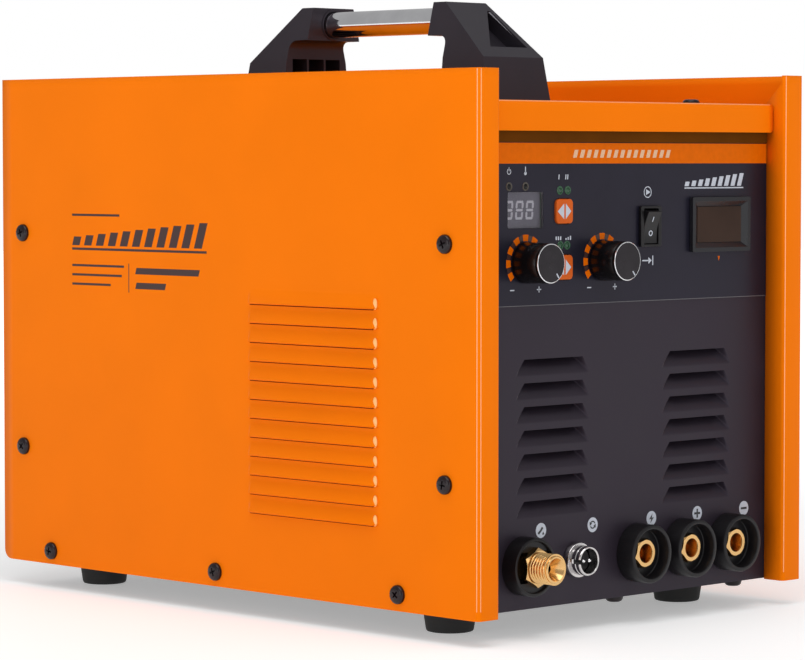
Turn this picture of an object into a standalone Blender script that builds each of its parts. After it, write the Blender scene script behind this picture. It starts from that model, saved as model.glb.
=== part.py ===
"""Plasma cutter unit with a built-in air compressor.

Frame: metres, +X to the right as the unit is seen from its front, +Y from front to rear, +Z up.
The origin is on the surface that the unit stands on, under the middle of its box.
"""

import math

import bmesh
import bpy
from mathutils import Matrix, Vector

mm = 0.001

# Case
CASE_WIDTH = 261.2 * mm
CASE_DEPTH = 396.8 * mm
COVER_BOTTOM = 14.0 * mm
COVER_HEIGHT = 285.0 * mm
SHEET = 1.2 * mm
PANEL_SHEET = 1.5 * mm
GAP = 0.3 * mm
COVER_FLANGE = 16.0 * mm
PANEL_RECESS = 14.0 * mm
TOP_DROP = 16.0 * mm
LIP_HEIGHT = 16.0 * mm
LIP_SETBACK = 8.4 * mm
LIP_CORNER = 2.5 * mm
COVER_CORNER = 6.0 * mm
TRAY_BOTTOM = 16.5 * mm
TRAY_WALL = 18.0 * mm
PANEL_FLANGE = 18.0 * mm
REAR_RECESS = 10.4 * mm

HALF_WIDTH = CASE_WIDTH / 2
HALF_DEPTH = CASE_DEPTH / 2
COVER_TOP = COVER_BOTTOM + COVER_HEIGHT
TOP_FACE = COVER_TOP - TOP_DROP
PANEL_FACE = -HALF_DEPTH + PANEL_RECESS
PANEL_BACK = PANEL_FACE + PANEL_SHEET
REAR_FACE = HALF_DEPTH - REAR_RECESS
INNER_HALF = HALF_WIDTH - SHEET - 0.4 * mm
FLANGE_EDGE = HALF_WIDTH - COVER_FLANGE

# Louvres: cut line heights are those of the highest cut, then one pitch lower each
SIDE_LOUVRES = 12
SIDE_LOUVRE_PITCH = 10.45 * mm
SIDE_LOUVRE_TOP = 172.2 * mm
SIDE_LOUVRE_Y = (-124.7 * mm, -20.5 * mm)
SIDE_LOUVRE_SIZE = (7.5 * mm, 2.8 * mm, 3.0 * mm)
FRONT_LOUVRES = 7
FRONT_LOUVRE_PITCH = 12.5 * mm
FRONT_LOUVRE_TOP = 146.3 * mm
FRONT_LOUVRE_X = ((-87.5 * mm, -33.3 * mm), (28.7 * mm, 82.5 * mm))
FRONT_LOUVRE_SIZE = (8.5 * mm, 4.0 * mm, 4.0 * mm)

# Front controls: x, z of each centre, and sizes
OVERLAY_Z = (175.0 * mm, 260.7 * mm)
OVERLAY_THICK = 0.4 * mm
OVERLAY_FRONT = PANEL_FACE - GAP - OVERLAY_THICK
DISPLAY_AT = (-82.2 * mm, 225.4 * mm)
DISPLAY_SIZE = (26.4 * mm, 18.5 * mm)
BUTTON_X = -53.3 * mm
BUTTON_Z = (224.5 * mm, 194.8 * mm)
BUTTON_SIZE = 13.0 * mm
BUTTON_PROUD = 1.2 * mm
BUTTON_TRAVEL = 1.0 * mm
KNOB_X = (-82.1 * mm, -22.7 * mm)
KNOB_Z = 197.8 * mm
KNOB_BASE_R = 10.9 * mm
KNOB_FACE_R = 10.35 * mm
KNOB_PROUD = 18.4 * mm
SHAFT_R = 3.0 * mm
ROCKER_AT = (14.8 * mm, 215.6 * mm)
ROCKER_BEZEL = (16.8 * mm, 22.2 * mm)
ROCKER_TILT = 12.0
METER_AT = (72.9 * mm, 216.0 * mm)
METER_BEZEL = (49.1 * mm, 30.3 * mm)
METER_WINDOW = (37.4 * mm, 20.0 * mm)

# Panel openings behind the controls and outlets
PANEL_CLEARANCE = 0.8 * mm
SPINDLE_HOLE_R = 3.9 * mm
ROCKER_HOLE_HALF = (7.0 * mm, 10.4 * mm)
METER_HOLE_HALF = (23.0 * mm, 13.5 * mm)
OUTLET_HOLE_R = 12.4 * mm
CONNECTOR_HOLE_R = 7.9 * mm

# Front outlets
OUTLET_Z = 38.0 * mm
TORCH_X = -83.5 * mm
TORCH_REACH = 24.5 * mm
SHROUD_R = 15.6 * mm
SHROUD_PROUD = 10.0 * mm
CONNECTOR_X = -42.4 * mm
SOCKET_X = {"pilot": 6.2 * mm, "positive": 44.0 * mm, "negative": 81.9 * mm}
SOCKET_R = 16.0 * mm
SOCKET_PROUD = 12.0 * mm
CONTACT_FLATS = 14.4 * mm
CONTACT_BORE_R = 4.9 * mm

# Handle. BRACKET_HALF gives half the bracket's width at each height, all in millimetres
TUBE_Z = 330.8 * mm
TUBE_R = 7.5 * mm
BRACKET_HALF = {283.3: 26.3, 309.0: 24.0, 340.7: 16.2}
BOSS_END = 50.0
LEG_INNER = 65.0

# Feet: x, front y, rear y
FOOT_X = 92.0 * mm
FOOT_Y = (-139.0 * mm, 152.0 * mm)
FOOT_R = (12.8 * mm, 15.0 * mm)

# Rear
FAN_AT = (-52.0 * mm, 150.0 * mm)
FAN_SIDE = 120.0 * mm
FAN_DEPTH = 38.0 * mm
FAN_BORE_R = 56.5 * mm
SWITCH_AT = (72.0 * mm, 212.0 * mm)
LEVER_TILT = -24.0
GLAND_AT = (78.0 * mm, 62.0 * mm)
INLET_AT = (36.0 * mm, 62.0 * mm)

# Compressor
COMPRESSOR_AT = (70.0 * mm, 92.0 * mm)
MOTOR_R = 40.0 * mm
MOTOR_Y = (-40.0 * mm, 62.0 * mm)

# Hose routes, in millimetres
TORCH_HOSE = (
    (-83.5, -159.6, 38), (-83.5, -148, 38), (-76, -132, 40), (-55, -124, 46),
    (-25, -124, 56), (0, -128, 66), (18, -133, 71.5), (29.6, -134, 72),
)
COMPRESSOR_HOSE = (
    (70, 92.3, 174.4), (70, 91, 188), (70, 68, 202), (72, 20, 196), (78, -50, 166),
    (82, -100, 120), (80, -128, 86), (68, -134, 73), (54.4, -134, 72),
)


# ---------------------------------------------------------------- tools


def clear_scene():
    for obj in list(bpy.data.objects):
        bpy.data.objects.remove(obj, do_unlink=True)


def material(name, colour, roughness, metallic=0.0, alpha=1.0):
    made = bpy.data.materials.new(name)
    made.use_nodes = True
    shader = made.node_tree.nodes["Principled BSDF"]
    shader.inputs["Base Color"].default_value = (*colour, 1.0)
    shader.inputs["Roughness"].default_value = roughness
    shader.inputs["Metallic"].default_value = metallic
    shader.inputs["Alpha"].default_value = alpha
    return made


def make(name, bm, mat, pivot=(0, 0, 0), smooth=False):
    """An object from bm, whose points are world coordinates, with its origin at pivot."""
    bmesh.ops.recalc_face_normals(bm, faces=bm.faces)
    bmesh.ops.translate(bm, verts=bm.verts, vec=-Vector(pivot))
    mesh = bpy.data.meshes.new(name)
    bm.to_mesh(mesh)
    bm.free()
    if smooth:
        mesh.shade_smooth()
        mesh.set_sharp_from_angle(angle=math.radians(35))
    obj = bpy.data.objects.new(name, mesh)
    obj.location = pivot
    obj.data.materials.append(mat)
    bpy.context.scene.collection.objects.link(obj)
    return obj


def combine(obj, bm, operation):
    """Adds a Boolean of obj with a hidden helper made from bm."""
    helper = make(f"{obj.name}_{operation.lower()}_{len(obj.modifiers)}", bm, obj.data.materials[0])
    helper.hide_render = True
    helper.display_type = "WIRE"
    modifier = obj.modifiers.new(operation.title(), "BOOLEAN")
    modifier.operation = operation
    modifier.solver = "EXACT"
    modifier.object = helper


def cut(obj, bm):
    combine(obj, bm, "DIFFERENCE")


def fuse(obj, bm):
    combine(obj, bm, "UNION")


def box(bm, x, y, z):
    """A box between the pairs x, y and z."""
    middle = Vector((sum(x) / 2, sum(y) / 2, sum(z) / 2))
    scale = Matrix.Diagonal((x[1] - x[0], y[1] - y[0], z[1] - z[0], 1.0))
    bmesh.ops.create_cube(bm, size=1.0, matrix=Matrix.Translation(middle) @ scale)
    return bm


def prism(bm, outline, span, axis):
    """The outline, whose points lie across the axis, extruded over span along it."""
    place = {
        "X": lambda a, b, along: (along, a, b),
        "Y": lambda a, b, along: (a, along, b),
        "Z": lambda a, b, along: (a, b, along),
    }[axis]
    rings = [[bm.verts.new(place(a, b, along)) for a, b in outline] for along in span]
    bm.faces.new(rings[0])
    bm.faces.new(reversed(rings[1]))
    for i in range(len(outline)):
        j = (i + 1) % len(outline)
        bm.faces.new((rings[0][j], rings[0][i], rings[1][i], rings[1][j]))
    return bm


def turn(bm, profile, centre, axis="Y", steps=20):
    """A turned solid. profile holds (radius, along); radius 0 at both ends closes it on the axis."""
    place = {
        "X": lambda u, v, along: (along, u, v),
        "Y": lambda u, v, along: (u, along, v),
        "Z": lambda u, v, along: (u, v, along),
    }[axis]
    rings = []
    for radius, along in profile:
        count = 1 if radius == 0 else steps
        ring = []
        for i in range(count):
            angle = math.tau * i / steps
            point = Vector(place(radius * math.cos(angle), radius * math.sin(angle), along))
            ring.append(bm.verts.new(point + Vector(centre)))
        rings.append(ring)
    pairs = list(zip(rings, rings[1:]))
    if profile[0][0] > 0:
        pairs.append((rings[-1], rings[0]))
    for first, second in pairs:
        for i in range(steps):
            j = (i + 1) % steps
            if len(first) == 1:
                bm.faces.new((first[0], second[i], second[j]))
            elif len(second) == 1:
                bm.faces.new((first[i], second[0], first[j]))
            else:
                bm.faces.new((first[i], second[i], second[j], first[j]))
    return bm


def cylinder(bm, radius, centre, span, steps=20, axis="Y"):
    """A cylinder round an axis through the centre, over the span along that axis."""
    return turn(bm, [(0, span[0]), (radius, span[0]), (radius, span[1]), (0, span[1])], centre, axis, steps)


def rounded(width, height, radius, steps=3, centre=(0, 0)):
    """The outline of a rectangle with round corners."""
    points = []
    for quarter, (sx, sy) in enumerate(((1, 1), (-1, 1), (-1, -1), (1, -1))):
        for i in range(steps + 1):
            angle = math.pi / 2 * (quarter + i / steps)
            x = centre[0] + sx * (width / 2 - radius) + radius * math.cos(angle)
            y = centre[1] + sy * (height / 2 - radius) + radius * math.sin(angle)
            points.append((x, y))
    return points


def arc(centre, radius, start, end, steps=3):
    """Points along an arc between two angles in degrees."""
    angles = [math.radians(start + (end - start) * i / steps) for i in range(steps + 1)]
    return [(centre[0] + radius * math.cos(a), centre[1] + radius * math.sin(a)) for a in angles]


def hexagon(flats, centre, turned=0.0):
    radius = flats / math.sqrt(3)
    angles = [math.tau * i / 6 + turned for i in range(6)]
    return [(centre[0] + radius * math.cos(a), centre[1] + radius * math.sin(a)) for a in angles]


def append(target, source):
    """Adds the points and faces of source to target, and frees source."""
    made = {v: target.verts.new(v.co) for v in source.verts}
    for face in source.faces:
        target.faces.new([made[v] for v in face.verts])
    source.free()


def corner_cutter(at, inward, radius, margin=1 * mm, steps=4):
    """The outline that cuts a corner round. The sheet lies from the corner in the directions inward."""
    centre = [at[i] + inward[i] * radius for i in (0, 1)]
    beyond = [at[i] - inward[i] * margin for i in (0, 1)]
    outline = [(beyond[0], centre[1]), tuple(beyond), (centre[0], beyond[1])]
    for i in range(steps + 1):
        angle = math.pi / 2 * i / steps
        across = centre[0] - inward[0] * radius * math.sin(angle)
        outline.append((across, centre[1] - inward[1] * radius * math.cos(angle)))
    return outline


def wedge(bm, place, span, cut_line, rise, depth, taper, base):
    """A louvre's wedge: widest at w = base, with its lip at w = depth on the cut line."""
    top = cut_line + rise * (1 - base / depth)
    low = span[0] + taper * base / depth
    high = span[1] - taper * base / depth
    points = [
        (low, top, base), (high, top, base), (high, cut_line, base), (low, cut_line, base),
        (span[0] + taper, cut_line, depth), (span[1] - taper, cut_line, depth),
    ]
    v = [bm.verts.new(place(*point)) for point in points]
    for corners in ((0, 1, 2, 3), (0, 3, 4), (1, 5, 2), (0, 4, 5, 1), (3, 2, 5, 4)):
        bm.faces.new([v[i] for i in corners])


def louvres(obj, place, lines, spans, size, sheet, up):
    """Presses louvres into a sheet whose pressed side is w = 0. up is +1 for a hood above its cut."""
    rise, depth, taper = size
    hoods, hollows = bmesh.new(), bmesh.new()
    for cut_line in lines:
        for span in spans:
            wedge(hoods, place, span, cut_line, up * rise, depth, taper, -sheet / 2)
            inner = (span[0] + sheet, span[1] - sheet)
            shifted = lambda u, v, w: place(u, v, w - sheet)
            wedge(hollows, shifted, inner, cut_line - up * 0.2 * mm, up * rise, depth, taper, -0.5 * mm)
    fuse(obj, hoods)
    cut(obj, hollows)


# ---------------------------------------------------------------- case


def base_tray(mats):
    y = (PANEL_BACK + GAP, REAR_FACE - PANEL_SHEET - GAP)
    inner = INNER_HALF - SHEET
    floor = TRAY_BOTTOM + PANEL_SHEET
    top = TRAY_BOTTOM + TRAY_WALL
    outline = [
        (-INNER_HALF, TRAY_BOTTOM), (INNER_HALF, TRAY_BOTTOM), (INNER_HALF, top), (inner, top),
        (inner, floor), (-inner, floor), (-inner, top), (-INNER_HALF, top),
    ]
    make("base_tray", prism(bmesh.new(), outline, y, "Y"), mats["black_steel"])


def side_cover(name, side, mats):
    outer, edge = HALF_WIDTH, FLANGE_EDGE
    front, back = -HALF_DEPTH, PANEL_FACE - GAP
    outline = [
        (outer, front), (outer, HALF_DEPTH), (outer - SHEET, HALF_DEPTH), (outer - SHEET, front + SHEET),
        (edge + SHEET, front + SHEET), (edge + SHEET, back), (edge, back), (edge, front),
    ]
    outline = [(side * x, y) for x, y in outline]
    bm = prism(bmesh.new(), outline, (COVER_BOTTOM, COVER_TOP), "Z")
    cover = make(name, bm, mats["orange"])
    corner = [(back + mm, TOP_FACE - mm), (back + mm, COVER_TOP + mm), (front + mm, COVER_TOP + mm)]
    chamfer = sorted((side * (edge - mm), side * (edge + 2 * mm)))
    cut(cover, prism(bmesh.new(), corner, chamfer, "X"))
    rear_corner = corner_cutter((HALF_DEPTH, COVER_BOTTOM), (-1, 1), COVER_CORNER)
    sheet = sorted((side * (outer - 2 * SHEET), side * (outer + mm)))
    cut(cover, prism(bmesh.new(), rear_corner, sheet, "X"))
    lines = [SIDE_LOUVRE_TOP - i * SIDE_LOUVRE_PITCH for i in range(SIDE_LOUVRES)]
    place = lambda u, v, w: (side * (HALF_WIDTH + w), u, v)
    louvres(cover, place, lines, [SIDE_LOUVRE_Y], SIDE_LOUVRE_SIZE, SHEET, 1)


def top_cover(mats):
    narrow = FLANGE_EDGE - 0.4 * mm
    front, rear = -HALF_DEPTH + LIP_SETBACK, REAR_FACE + 0.4 * mm
    outline = [
        (-narrow, front), (narrow, front), (narrow, PANEL_FACE), (INNER_HALF, PANEL_FACE),
        (INNER_HALF, rear), (-INNER_HALF, rear), (-INNER_HALF, PANEL_FACE), (-narrow, PANEL_FACE),
    ]
    bm = prism(bmesh.new(), outline, (TOP_FACE - SHEET, TOP_FACE), "Z")
    cover = make("top_cover", bm, mats["orange"])
    lip = [(-narrow, TOP_FACE - SHEET / 2)]
    lip += arc((-narrow + LIP_CORNER, TOP_FACE - LIP_HEIGHT + LIP_CORNER), LIP_CORNER, 180, 270)
    lip += arc((narrow - LIP_CORNER, TOP_FACE - LIP_HEIGHT + LIP_CORNER), LIP_CORNER, 270, 360)
    lip.append((narrow, TOP_FACE - SHEET / 2))
    fuse(cover, prism(bmesh.new(), lip, (front, front + SHEET), "Y"))


def panel_holes(y, controls, outlets):
    """Cutters over the span y for the openings behind the controls, the outlets or both."""
    bm = bmesh.new()
    if controls:
        display_hole = [side + PANEL_CLEARANCE for side in DISPLAY_SIZE]
        prism(bm, rounded(*display_hole, 1 * mm, 2, DISPLAY_AT), y, "Y")
        button_hole = BUTTON_SIZE + PANEL_CLEARANCE
        for z in BUTTON_Z:
            prism(bm, rounded(button_hole, button_hole, 3 * mm, 3, (BUTTON_X, z)), y, "Y")
        for x in KNOB_X:
            cylinder(bm, SPINDLE_HOLE_R, (x, 0, KNOB_Z), y, 16)
        for (x, z), (half_x, half_z) in ((ROCKER_AT, ROCKER_HOLE_HALF), (METER_AT, METER_HOLE_HALF)):
            box(bm, (x - half_x, x + half_x), y, (z - half_z, z + half_z))
    if outlets:
        cylinder(bm, OUTLET_HOLE_R, (TORCH_X, 0, OUTLET_Z), y, 24)
        cylinder(bm, CONNECTOR_HOLE_R, (CONNECTOR_X, 0, OUTLET_Z), y, 24)
        for x in SOCKET_X.values():
            cylinder(bm, OUTLET_HOLE_R, (x, 0, OUTLET_Z), y, 24)
    return bm


def front_panel(mats):
    bottom, top = COVER_BOTTOM + 0.7 * mm, TOP_FACE - SHEET - 2.4 * mm
    inner, back = INNER_HALF - SHEET, PANEL_FACE + PANEL_FLANGE
    outline = [
        (-INNER_HALF, PANEL_FACE), (INNER_HALF, PANEL_FACE), (INNER_HALF, back), (inner, back),
        (inner, PANEL_BACK), (-inner, PANEL_BACK), (-inner, back), (-INNER_HALF, back),
    ]
    joint = TRAY_BOTTOM + TRAY_WALL + 1 * mm
    panel = make("front_panel", prism(bmesh.new(), outline, (joint, top), "Z"), mats["dark_panel"])
    lower = [
        (PANEL_FACE, bottom), (PANEL_FACE, joint + 1 * mm), (PANEL_BACK, joint + 1 * mm),
        (PANEL_BACK, bottom + PANEL_SHEET), (back, bottom + PANEL_SHEET), (back, bottom),
    ]
    fuse(panel, prism(bmesh.new(), lower, (-INNER_HALF, INNER_HALF), "X"))
    cut(panel, panel_holes((PANEL_FACE - 1 * mm, PANEL_BACK + 1 * mm), True, True))
    lines = [FRONT_LOUVRE_TOP - i * FRONT_LOUVRE_PITCH for i in range(FRONT_LOUVRES)]
    place = lambda u, v, w: (u, PANEL_BACK + w, v)
    louvres(panel, place, lines, FRONT_LOUVRE_X, FRONT_LOUVRE_SIZE, PANEL_SHEET, -1)


def rear_panel(mats):
    bottom, top = COVER_BOTTOM + 0.7 * mm, TOP_FACE - SHEET - 2.4 * mm
    inner, front, sheet = INNER_HALF - SHEET, REAR_FACE - PANEL_FLANGE, REAR_FACE - PANEL_SHEET
    outline = [
        (-INNER_HALF, REAR_FACE), (-INNER_HALF, front), (-inner, front), (-inner, sheet),
        (inner, sheet), (inner, front), (INNER_HALF, front), (INNER_HALF, REAR_FACE),
    ]
    joint = TRAY_BOTTOM + TRAY_WALL + 1 * mm
    panel = make("rear_panel", prism(bmesh.new(), outline, (joint, top), "Z"), mats["dark_panel"])
    lower = [
        (REAR_FACE, bottom), (REAR_FACE, joint + 1 * mm), (sheet, joint + 1 * mm),
        (sheet, bottom + PANEL_SHEET), (front, bottom + PANEL_SHEET), (front, bottom),
    ]
    fuse(panel, prism(bmesh.new(), lower, (-INNER_HALF, INNER_HALF), "X"))
    y = (sheet - 1 * mm, REAR_FACE + 1 * mm)
    bm = bmesh.new()
    for (x, z), radius in ((FAN_AT, FAN_BORE_R), (GLAND_AT, 9.0 * mm), (INLET_AT, 7.0 * mm)):
        cylinder(bm, radius, (x, 0, z), y, 32)
    x, z = SWITCH_AT
    box(bm, (x - 18.6 * mm, x + 18.6 * mm), y, (z - 23.6 * mm, z + 23.6 * mm))
    cut(panel, bm)


def front_overlay(mats):
    half = FLANGE_EDGE - 0.4 * mm
    bm = box(bmesh.new(), (-half, half), (OVERLAY_FRONT, OVERLAY_FRONT + OVERLAY_THICK), OVERLAY_Z)
    overlay = make("front_overlay", bm, mats["dark_print"])
    cut(overlay, panel_holes((OVERLAY_FRONT - 1 * mm, PANEL_FACE + 0.5 * mm), True, False))


# ---------------------------------------------------------------- front controls


def display(mats):
    window = rounded(*DISPLAY_SIZE, 0.8 * mm, 2, DISPLAY_AT)
    front = OVERLAY_FRONT + 0.1 * mm
    make("display_window", prism(bmesh.new(), window, (front, front + 1.6 * mm), "Y"), mats["smoked"])
    x, z = DISPLAY_AT
    y = (PANEL_BACK + 0.6 * mm, -171.5 * mm)
    module = box(bmesh.new(), (x - 14 * mm, x + 14 * mm), y, (z - 10 * mm, z + 10 * mm))
    make("display_module", module, mats["black_plastic"])


def control_board(mats):
    sheet = box(bmesh.new(), (-104 * mm, 2 * mm), (-171.2 * mm, -169.6 * mm), (180 * mm, 248 * mm))
    board = make("control_board", sheet, mats["board"])
    switches = bmesh.new()
    x, y = (BUTTON_X - 3 * mm, BUTTON_X + 3 * mm), (-175.8 * mm, -170.4 * mm)
    for z in BUTTON_Z:
        box(switches, x, y, (z - 3 * mm, z + 3 * mm))
    fuse(board, switches)


def push_button(name, z, mats):
    front = OVERLAY_FRONT - BUTTON_PROUD
    at = (BUTTON_X, z)
    cap = rounded(BUTTON_SIZE, BUTTON_SIZE, 2.6 * mm, 3, at)
    cap = prism(bmesh.new(), cap, (front, PANEL_BACK + 1 * mm), "Y")
    button = make(name, cap, mats["button"], (BUTTON_X, front, z))
    collar = rounded(BUTTON_SIZE + 3 * mm, BUTTON_SIZE + 3 * mm, 3 * mm, 3, at)
    stop = PANEL_BACK + GAP
    fuse(button, prism(bmesh.new(), collar, (stop, stop + 1.2 * mm), "Y"))
    stem = rounded(5 * mm, 5 * mm, 1 * mm, 1, at)
    fuse(button, prism(bmesh.new(), stem, (stop + 1 * mm, -177.0 * mm), "Y"))


def knob(name, x, mats):
    back = OVERLAY_FRONT - 1.0 * mm
    face = OVERLAY_FRONT - KNOB_PROUD
    recess = 1.2 * mm
    at = (x, 0, KNOB_Z)
    profile = [
        (0, -175.0 * mm), (SHAFT_R - 0.3 * mm, -175.0 * mm), (SHAFT_R - 0.3 * mm, back - 4 * mm),
        (8.6 * mm, back - 4 * mm), (8.6 * mm, back), (KNOB_BASE_R, back), (KNOB_BASE_R, back - 2 * mm),
        (KNOB_FACE_R, back - 3 * mm), (KNOB_FACE_R, face + 0.8 * mm), (KNOB_FACE_R - 0.6 * mm, face),
        (9.4 * mm, face), (9.4 * mm, face + recess), (0, face + recess),
    ]
    make(name, turn(bmesh.new(), profile, at, "Y", 20), mats["knob"], (x, face, KNOB_Z), True)
    cap = [
        (0, face), (8.6 * mm, face), (9.1 * mm, face + 0.4 * mm), (9.1 * mm, face + recess - GAP),
        (0, face + recess - GAP),
    ]
    make(f"{name}_cap", turn(bmesh.new(), cap, at, "Y", 20), mats["brushed"], (x, face, KNOB_Z), True)


def potentiometer(name, x, mats):
    profile = [
        (SHAFT_R, -188.0 * mm), (3.6 * mm, -188.0 * mm), (3.6 * mm, -181.5 * mm), (8.0 * mm, -181.5 * mm),
        (8.0 * mm, -171.5 * mm), (SHAFT_R, -171.5 * mm),
    ]
    make(name, turn(bmesh.new(), profile, (x, 0, KNOB_Z), "Y", 20), mats["zinc"], smooth=True)


def tilted(section, pivot, degrees):
    """An outline in y and z from a section of (up, out) points in millimetres, turned about the pivot."""
    turned = Matrix.Rotation(math.radians(degrees), 2)
    points = [turned @ Vector((out, up)) * mm for up, out in section]
    return [(pivot.y + point.x, pivot.z + point.y) for point in points]


def rocker_switch(mats):
    x, z = ROCKER_AT
    back = OVERLAY_FRONT - GAP
    front = back - 1.8 * mm
    bezel = prism(bmesh.new(), rounded(*ROCKER_BEZEL, 1.2 * mm, 2, ROCKER_AT), (front, back), "Y")
    body = make("select_switch_body", bezel, mats["black_plastic"])
    y, half = (back - 0.5 * mm, -172.0 * mm), (6.7 * mm, 10.1 * mm)
    fuse(body, box(bmesh.new(), (x - half[0], x + half[0]), y, (z - half[1], z + half[1])))
    y, half = (front - 1 * mm, -178.0 * mm), (5.8 * mm, 9.7 * mm)
    cut(body, box(bmesh.new(), (x - half[0], x + half[0]), y, (z - half[1], z + half[1])))
    pivot = Vector((x, front + 2.0 * mm, z))
    section = [
        (8.9, -3.2), (4.5, -2.1), (0, -1.7), (-4.5, -2.1), (-8.9, -3.2), (-8.9, 1.2), (-4.0, 3.6),
        (4.0, 3.6), (8.9, 1.2),
    ]
    key = prism(bmesh.new(), tilted(section, pivot, ROCKER_TILT), (x - 5.4 * mm, x + 5.4 * mm), "X")
    make("select_rocker", key, mats["black_plastic"], pivot)


def panel_meter(mats):
    x, z = METER_AT
    back = OVERLAY_FRONT - GAP
    front = back - 2.4 * mm
    bezel = prism(bmesh.new(), rounded(*METER_BEZEL, 1.5 * mm, 2, METER_AT), (front, back), "Y")
    meter = make("meter_case", bezel, mats["black_plastic"])
    y, half = (back - 0.5 * mm, -163.0 * mm), (22.6 * mm, 13.1 * mm)
    fuse(meter, box(bmesh.new(), (x - half[0], x + half[0]), y, (z - half[1], z + half[1])))
    window = rounded(METER_WINDOW[0] + 0.8 * mm, METER_WINDOW[1] + 0.8 * mm, 1 * mm, 2, METER_AT)
    cut(meter, prism(bmesh.new(), window, (front - 1 * mm, front + 2.4 * mm), "Y"))
    pane = rounded(*METER_WINDOW, 0.8 * mm, 2, METER_AT)
    pane = prism(bmesh.new(), pane, (front + 0.9 * mm, front + 2.1 * mm), "Y")
    make("meter_window", pane, mats["smoked"])


# ---------------------------------------------------------------- front outlets


def torch_outlet(mats):
    at = (TORCH_X, 0, OUTLET_Z)
    face = PANEL_FACE - SHROUD_PROUD
    back = PANEL_FACE - GAP
    shroud = [
        (6.4 * mm, face + 5 * mm), (12.0 * mm, face + 5 * mm), (12.0 * mm, face),
        (SHROUD_R - 0.8 * mm, face), (SHROUD_R, face + 0.8 * mm), (SHROUD_R, back), (12.0 * mm, back),
        (12.0 * mm, -172.0 * mm), (6.4 * mm, -172.0 * mm),
    ]
    make("torch_shroud", turn(bmesh.new(), shroud, at, "Y", 20), mats["black_plastic"], smooth=True)
    tip = PANEL_FACE - TORCH_REACH
    hexa = face + 0.5 * mm
    fitting = [
        (2.2 * mm, tip + 6 * mm), (6.2 * mm, tip), (7.6 * mm, tip), (8.0 * mm, tip + 1 * mm),
        (8.0 * mm, hexa), (6.1 * mm, hexa), (6.1 * mm, -168.0 * mm), (4.0 * mm, -168.0 * mm),
        (4.0 * mm, -160.0 * mm), (2.2 * mm, -160.0 * mm),
    ]
    made = make("torch_fitting", turn(bmesh.new(), fitting, at, "Y", 20), mats["brass"], smooth=True)
    nut = hexagon(18.5 * mm, (TORCH_X, OUTLET_Z), math.pi / 6)
    fuse(made, prism(bmesh.new(), nut, (hexa - 3.2 * mm, hexa + 3.8 * mm), "Y"))
    cut(made, cylinder(bmesh.new(), 2.2 * mm, at, (tip + 6.1 * mm, -159 * mm)))


def control_connector(mats):
    at = (CONNECTOR_X, 0, OUTLET_Z)
    face = PANEL_FACE - 10.3 * mm
    nut = PANEL_FACE - GAP
    shell = [
        (6.7 * mm, face), (7.6 * mm, face), (8.0 * mm, face + 0.6 * mm), (8.0 * mm, nut - 3 * mm),
        (9.5 * mm, nut - 3 * mm), (9.5 * mm, nut), (7.5 * mm, nut), (7.5 * mm, -174 * mm),
        (6.7 * mm, -174 * mm),
    ]
    make("connector_shell", turn(bmesh.new(), shell, at, "Y", 20), mats["chrome"], smooth=True)
    floor = face + 7 * mm
    base = cylinder(bmesh.new(), 6.4 * mm, at, (floor, -172 * mm))
    insert = make("connector_insert", base, mats["black_plastic"], smooth=True)
    pins = bmesh.new()
    pin = [(0, face + 1.5 * mm), (0.8 * mm, face + 2 * mm), (0.8 * mm, floor + mm), (0, floor + mm)]
    for dx in (-2.3 * mm, 2.3 * mm):
        turn(pins, pin, (CONNECTOR_X + dx, 0, OUTLET_Z), "Y", 8)
    fuse(insert, pins)


def cable_socket(name, x, mats):
    at = (x, 0, OUTLET_Z)
    face = PANEL_FACE - SOCKET_PROUD
    floor = PANEL_FACE - 4.5 * mm
    back = PANEL_FACE - GAP
    shell = [
        (6.4 * mm, floor), (13.4 * mm, floor), (13.4 * mm, face + 0.6 * mm), (14.0 * mm, face),
        (15.4 * mm, face), (SOCKET_R, face + 0.6 * mm), (SOCKET_R, back), (12.0 * mm, back),
        (12.0 * mm, -166 * mm), (6.4 * mm, -166 * mm),
    ]
    make(f"{name}_socket", turn(bmesh.new(), shell, at, "Y", 20), mats["black_plastic"], smooth=True)
    tip = PANEL_FACE - 7.0 * mm
    shank = [
        (0, tip + 16 * mm), (CONTACT_BORE_R, tip + 16 * mm), (CONTACT_BORE_R, tip), (6.1 * mm, tip),
        (6.1 * mm, -162 * mm), (4.0 * mm, -162 * mm), (4.0 * mm, -150 * mm), (0, -150 * mm),
    ]
    contact = make(f"{name}_contact", turn(bmesh.new(), shank, at, "Y", 20), mats["brass"], smooth=True)
    ring = hexagon(CONTACT_FLATS, (x, OUTLET_Z), 0.25)
    fuse(contact, prism(bmesh.new(), ring, (tip - 0.2 * mm, floor - GAP), "Y"))
    cut(contact, cylinder(bmesh.new(), CONTACT_BORE_R, at, (tip - 1 * mm, floor)))


# ---------------------------------------------------------------- handle


def bracket_half(z):
    """Half the bracket's width at height z, straight between the heights where it is stated."""
    heights = sorted(BRACKET_HALF)
    for low, high in zip(heights, heights[1:]):
        if z <= high * mm + 1e-9:
            share = (z / mm - low) / (high - low)
            return mm * (BRACKET_HALF[low] + share * (BRACKET_HALF[high] - BRACKET_HALF[low]))
    return BRACKET_HALF[heights[-1]] * mm


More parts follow.
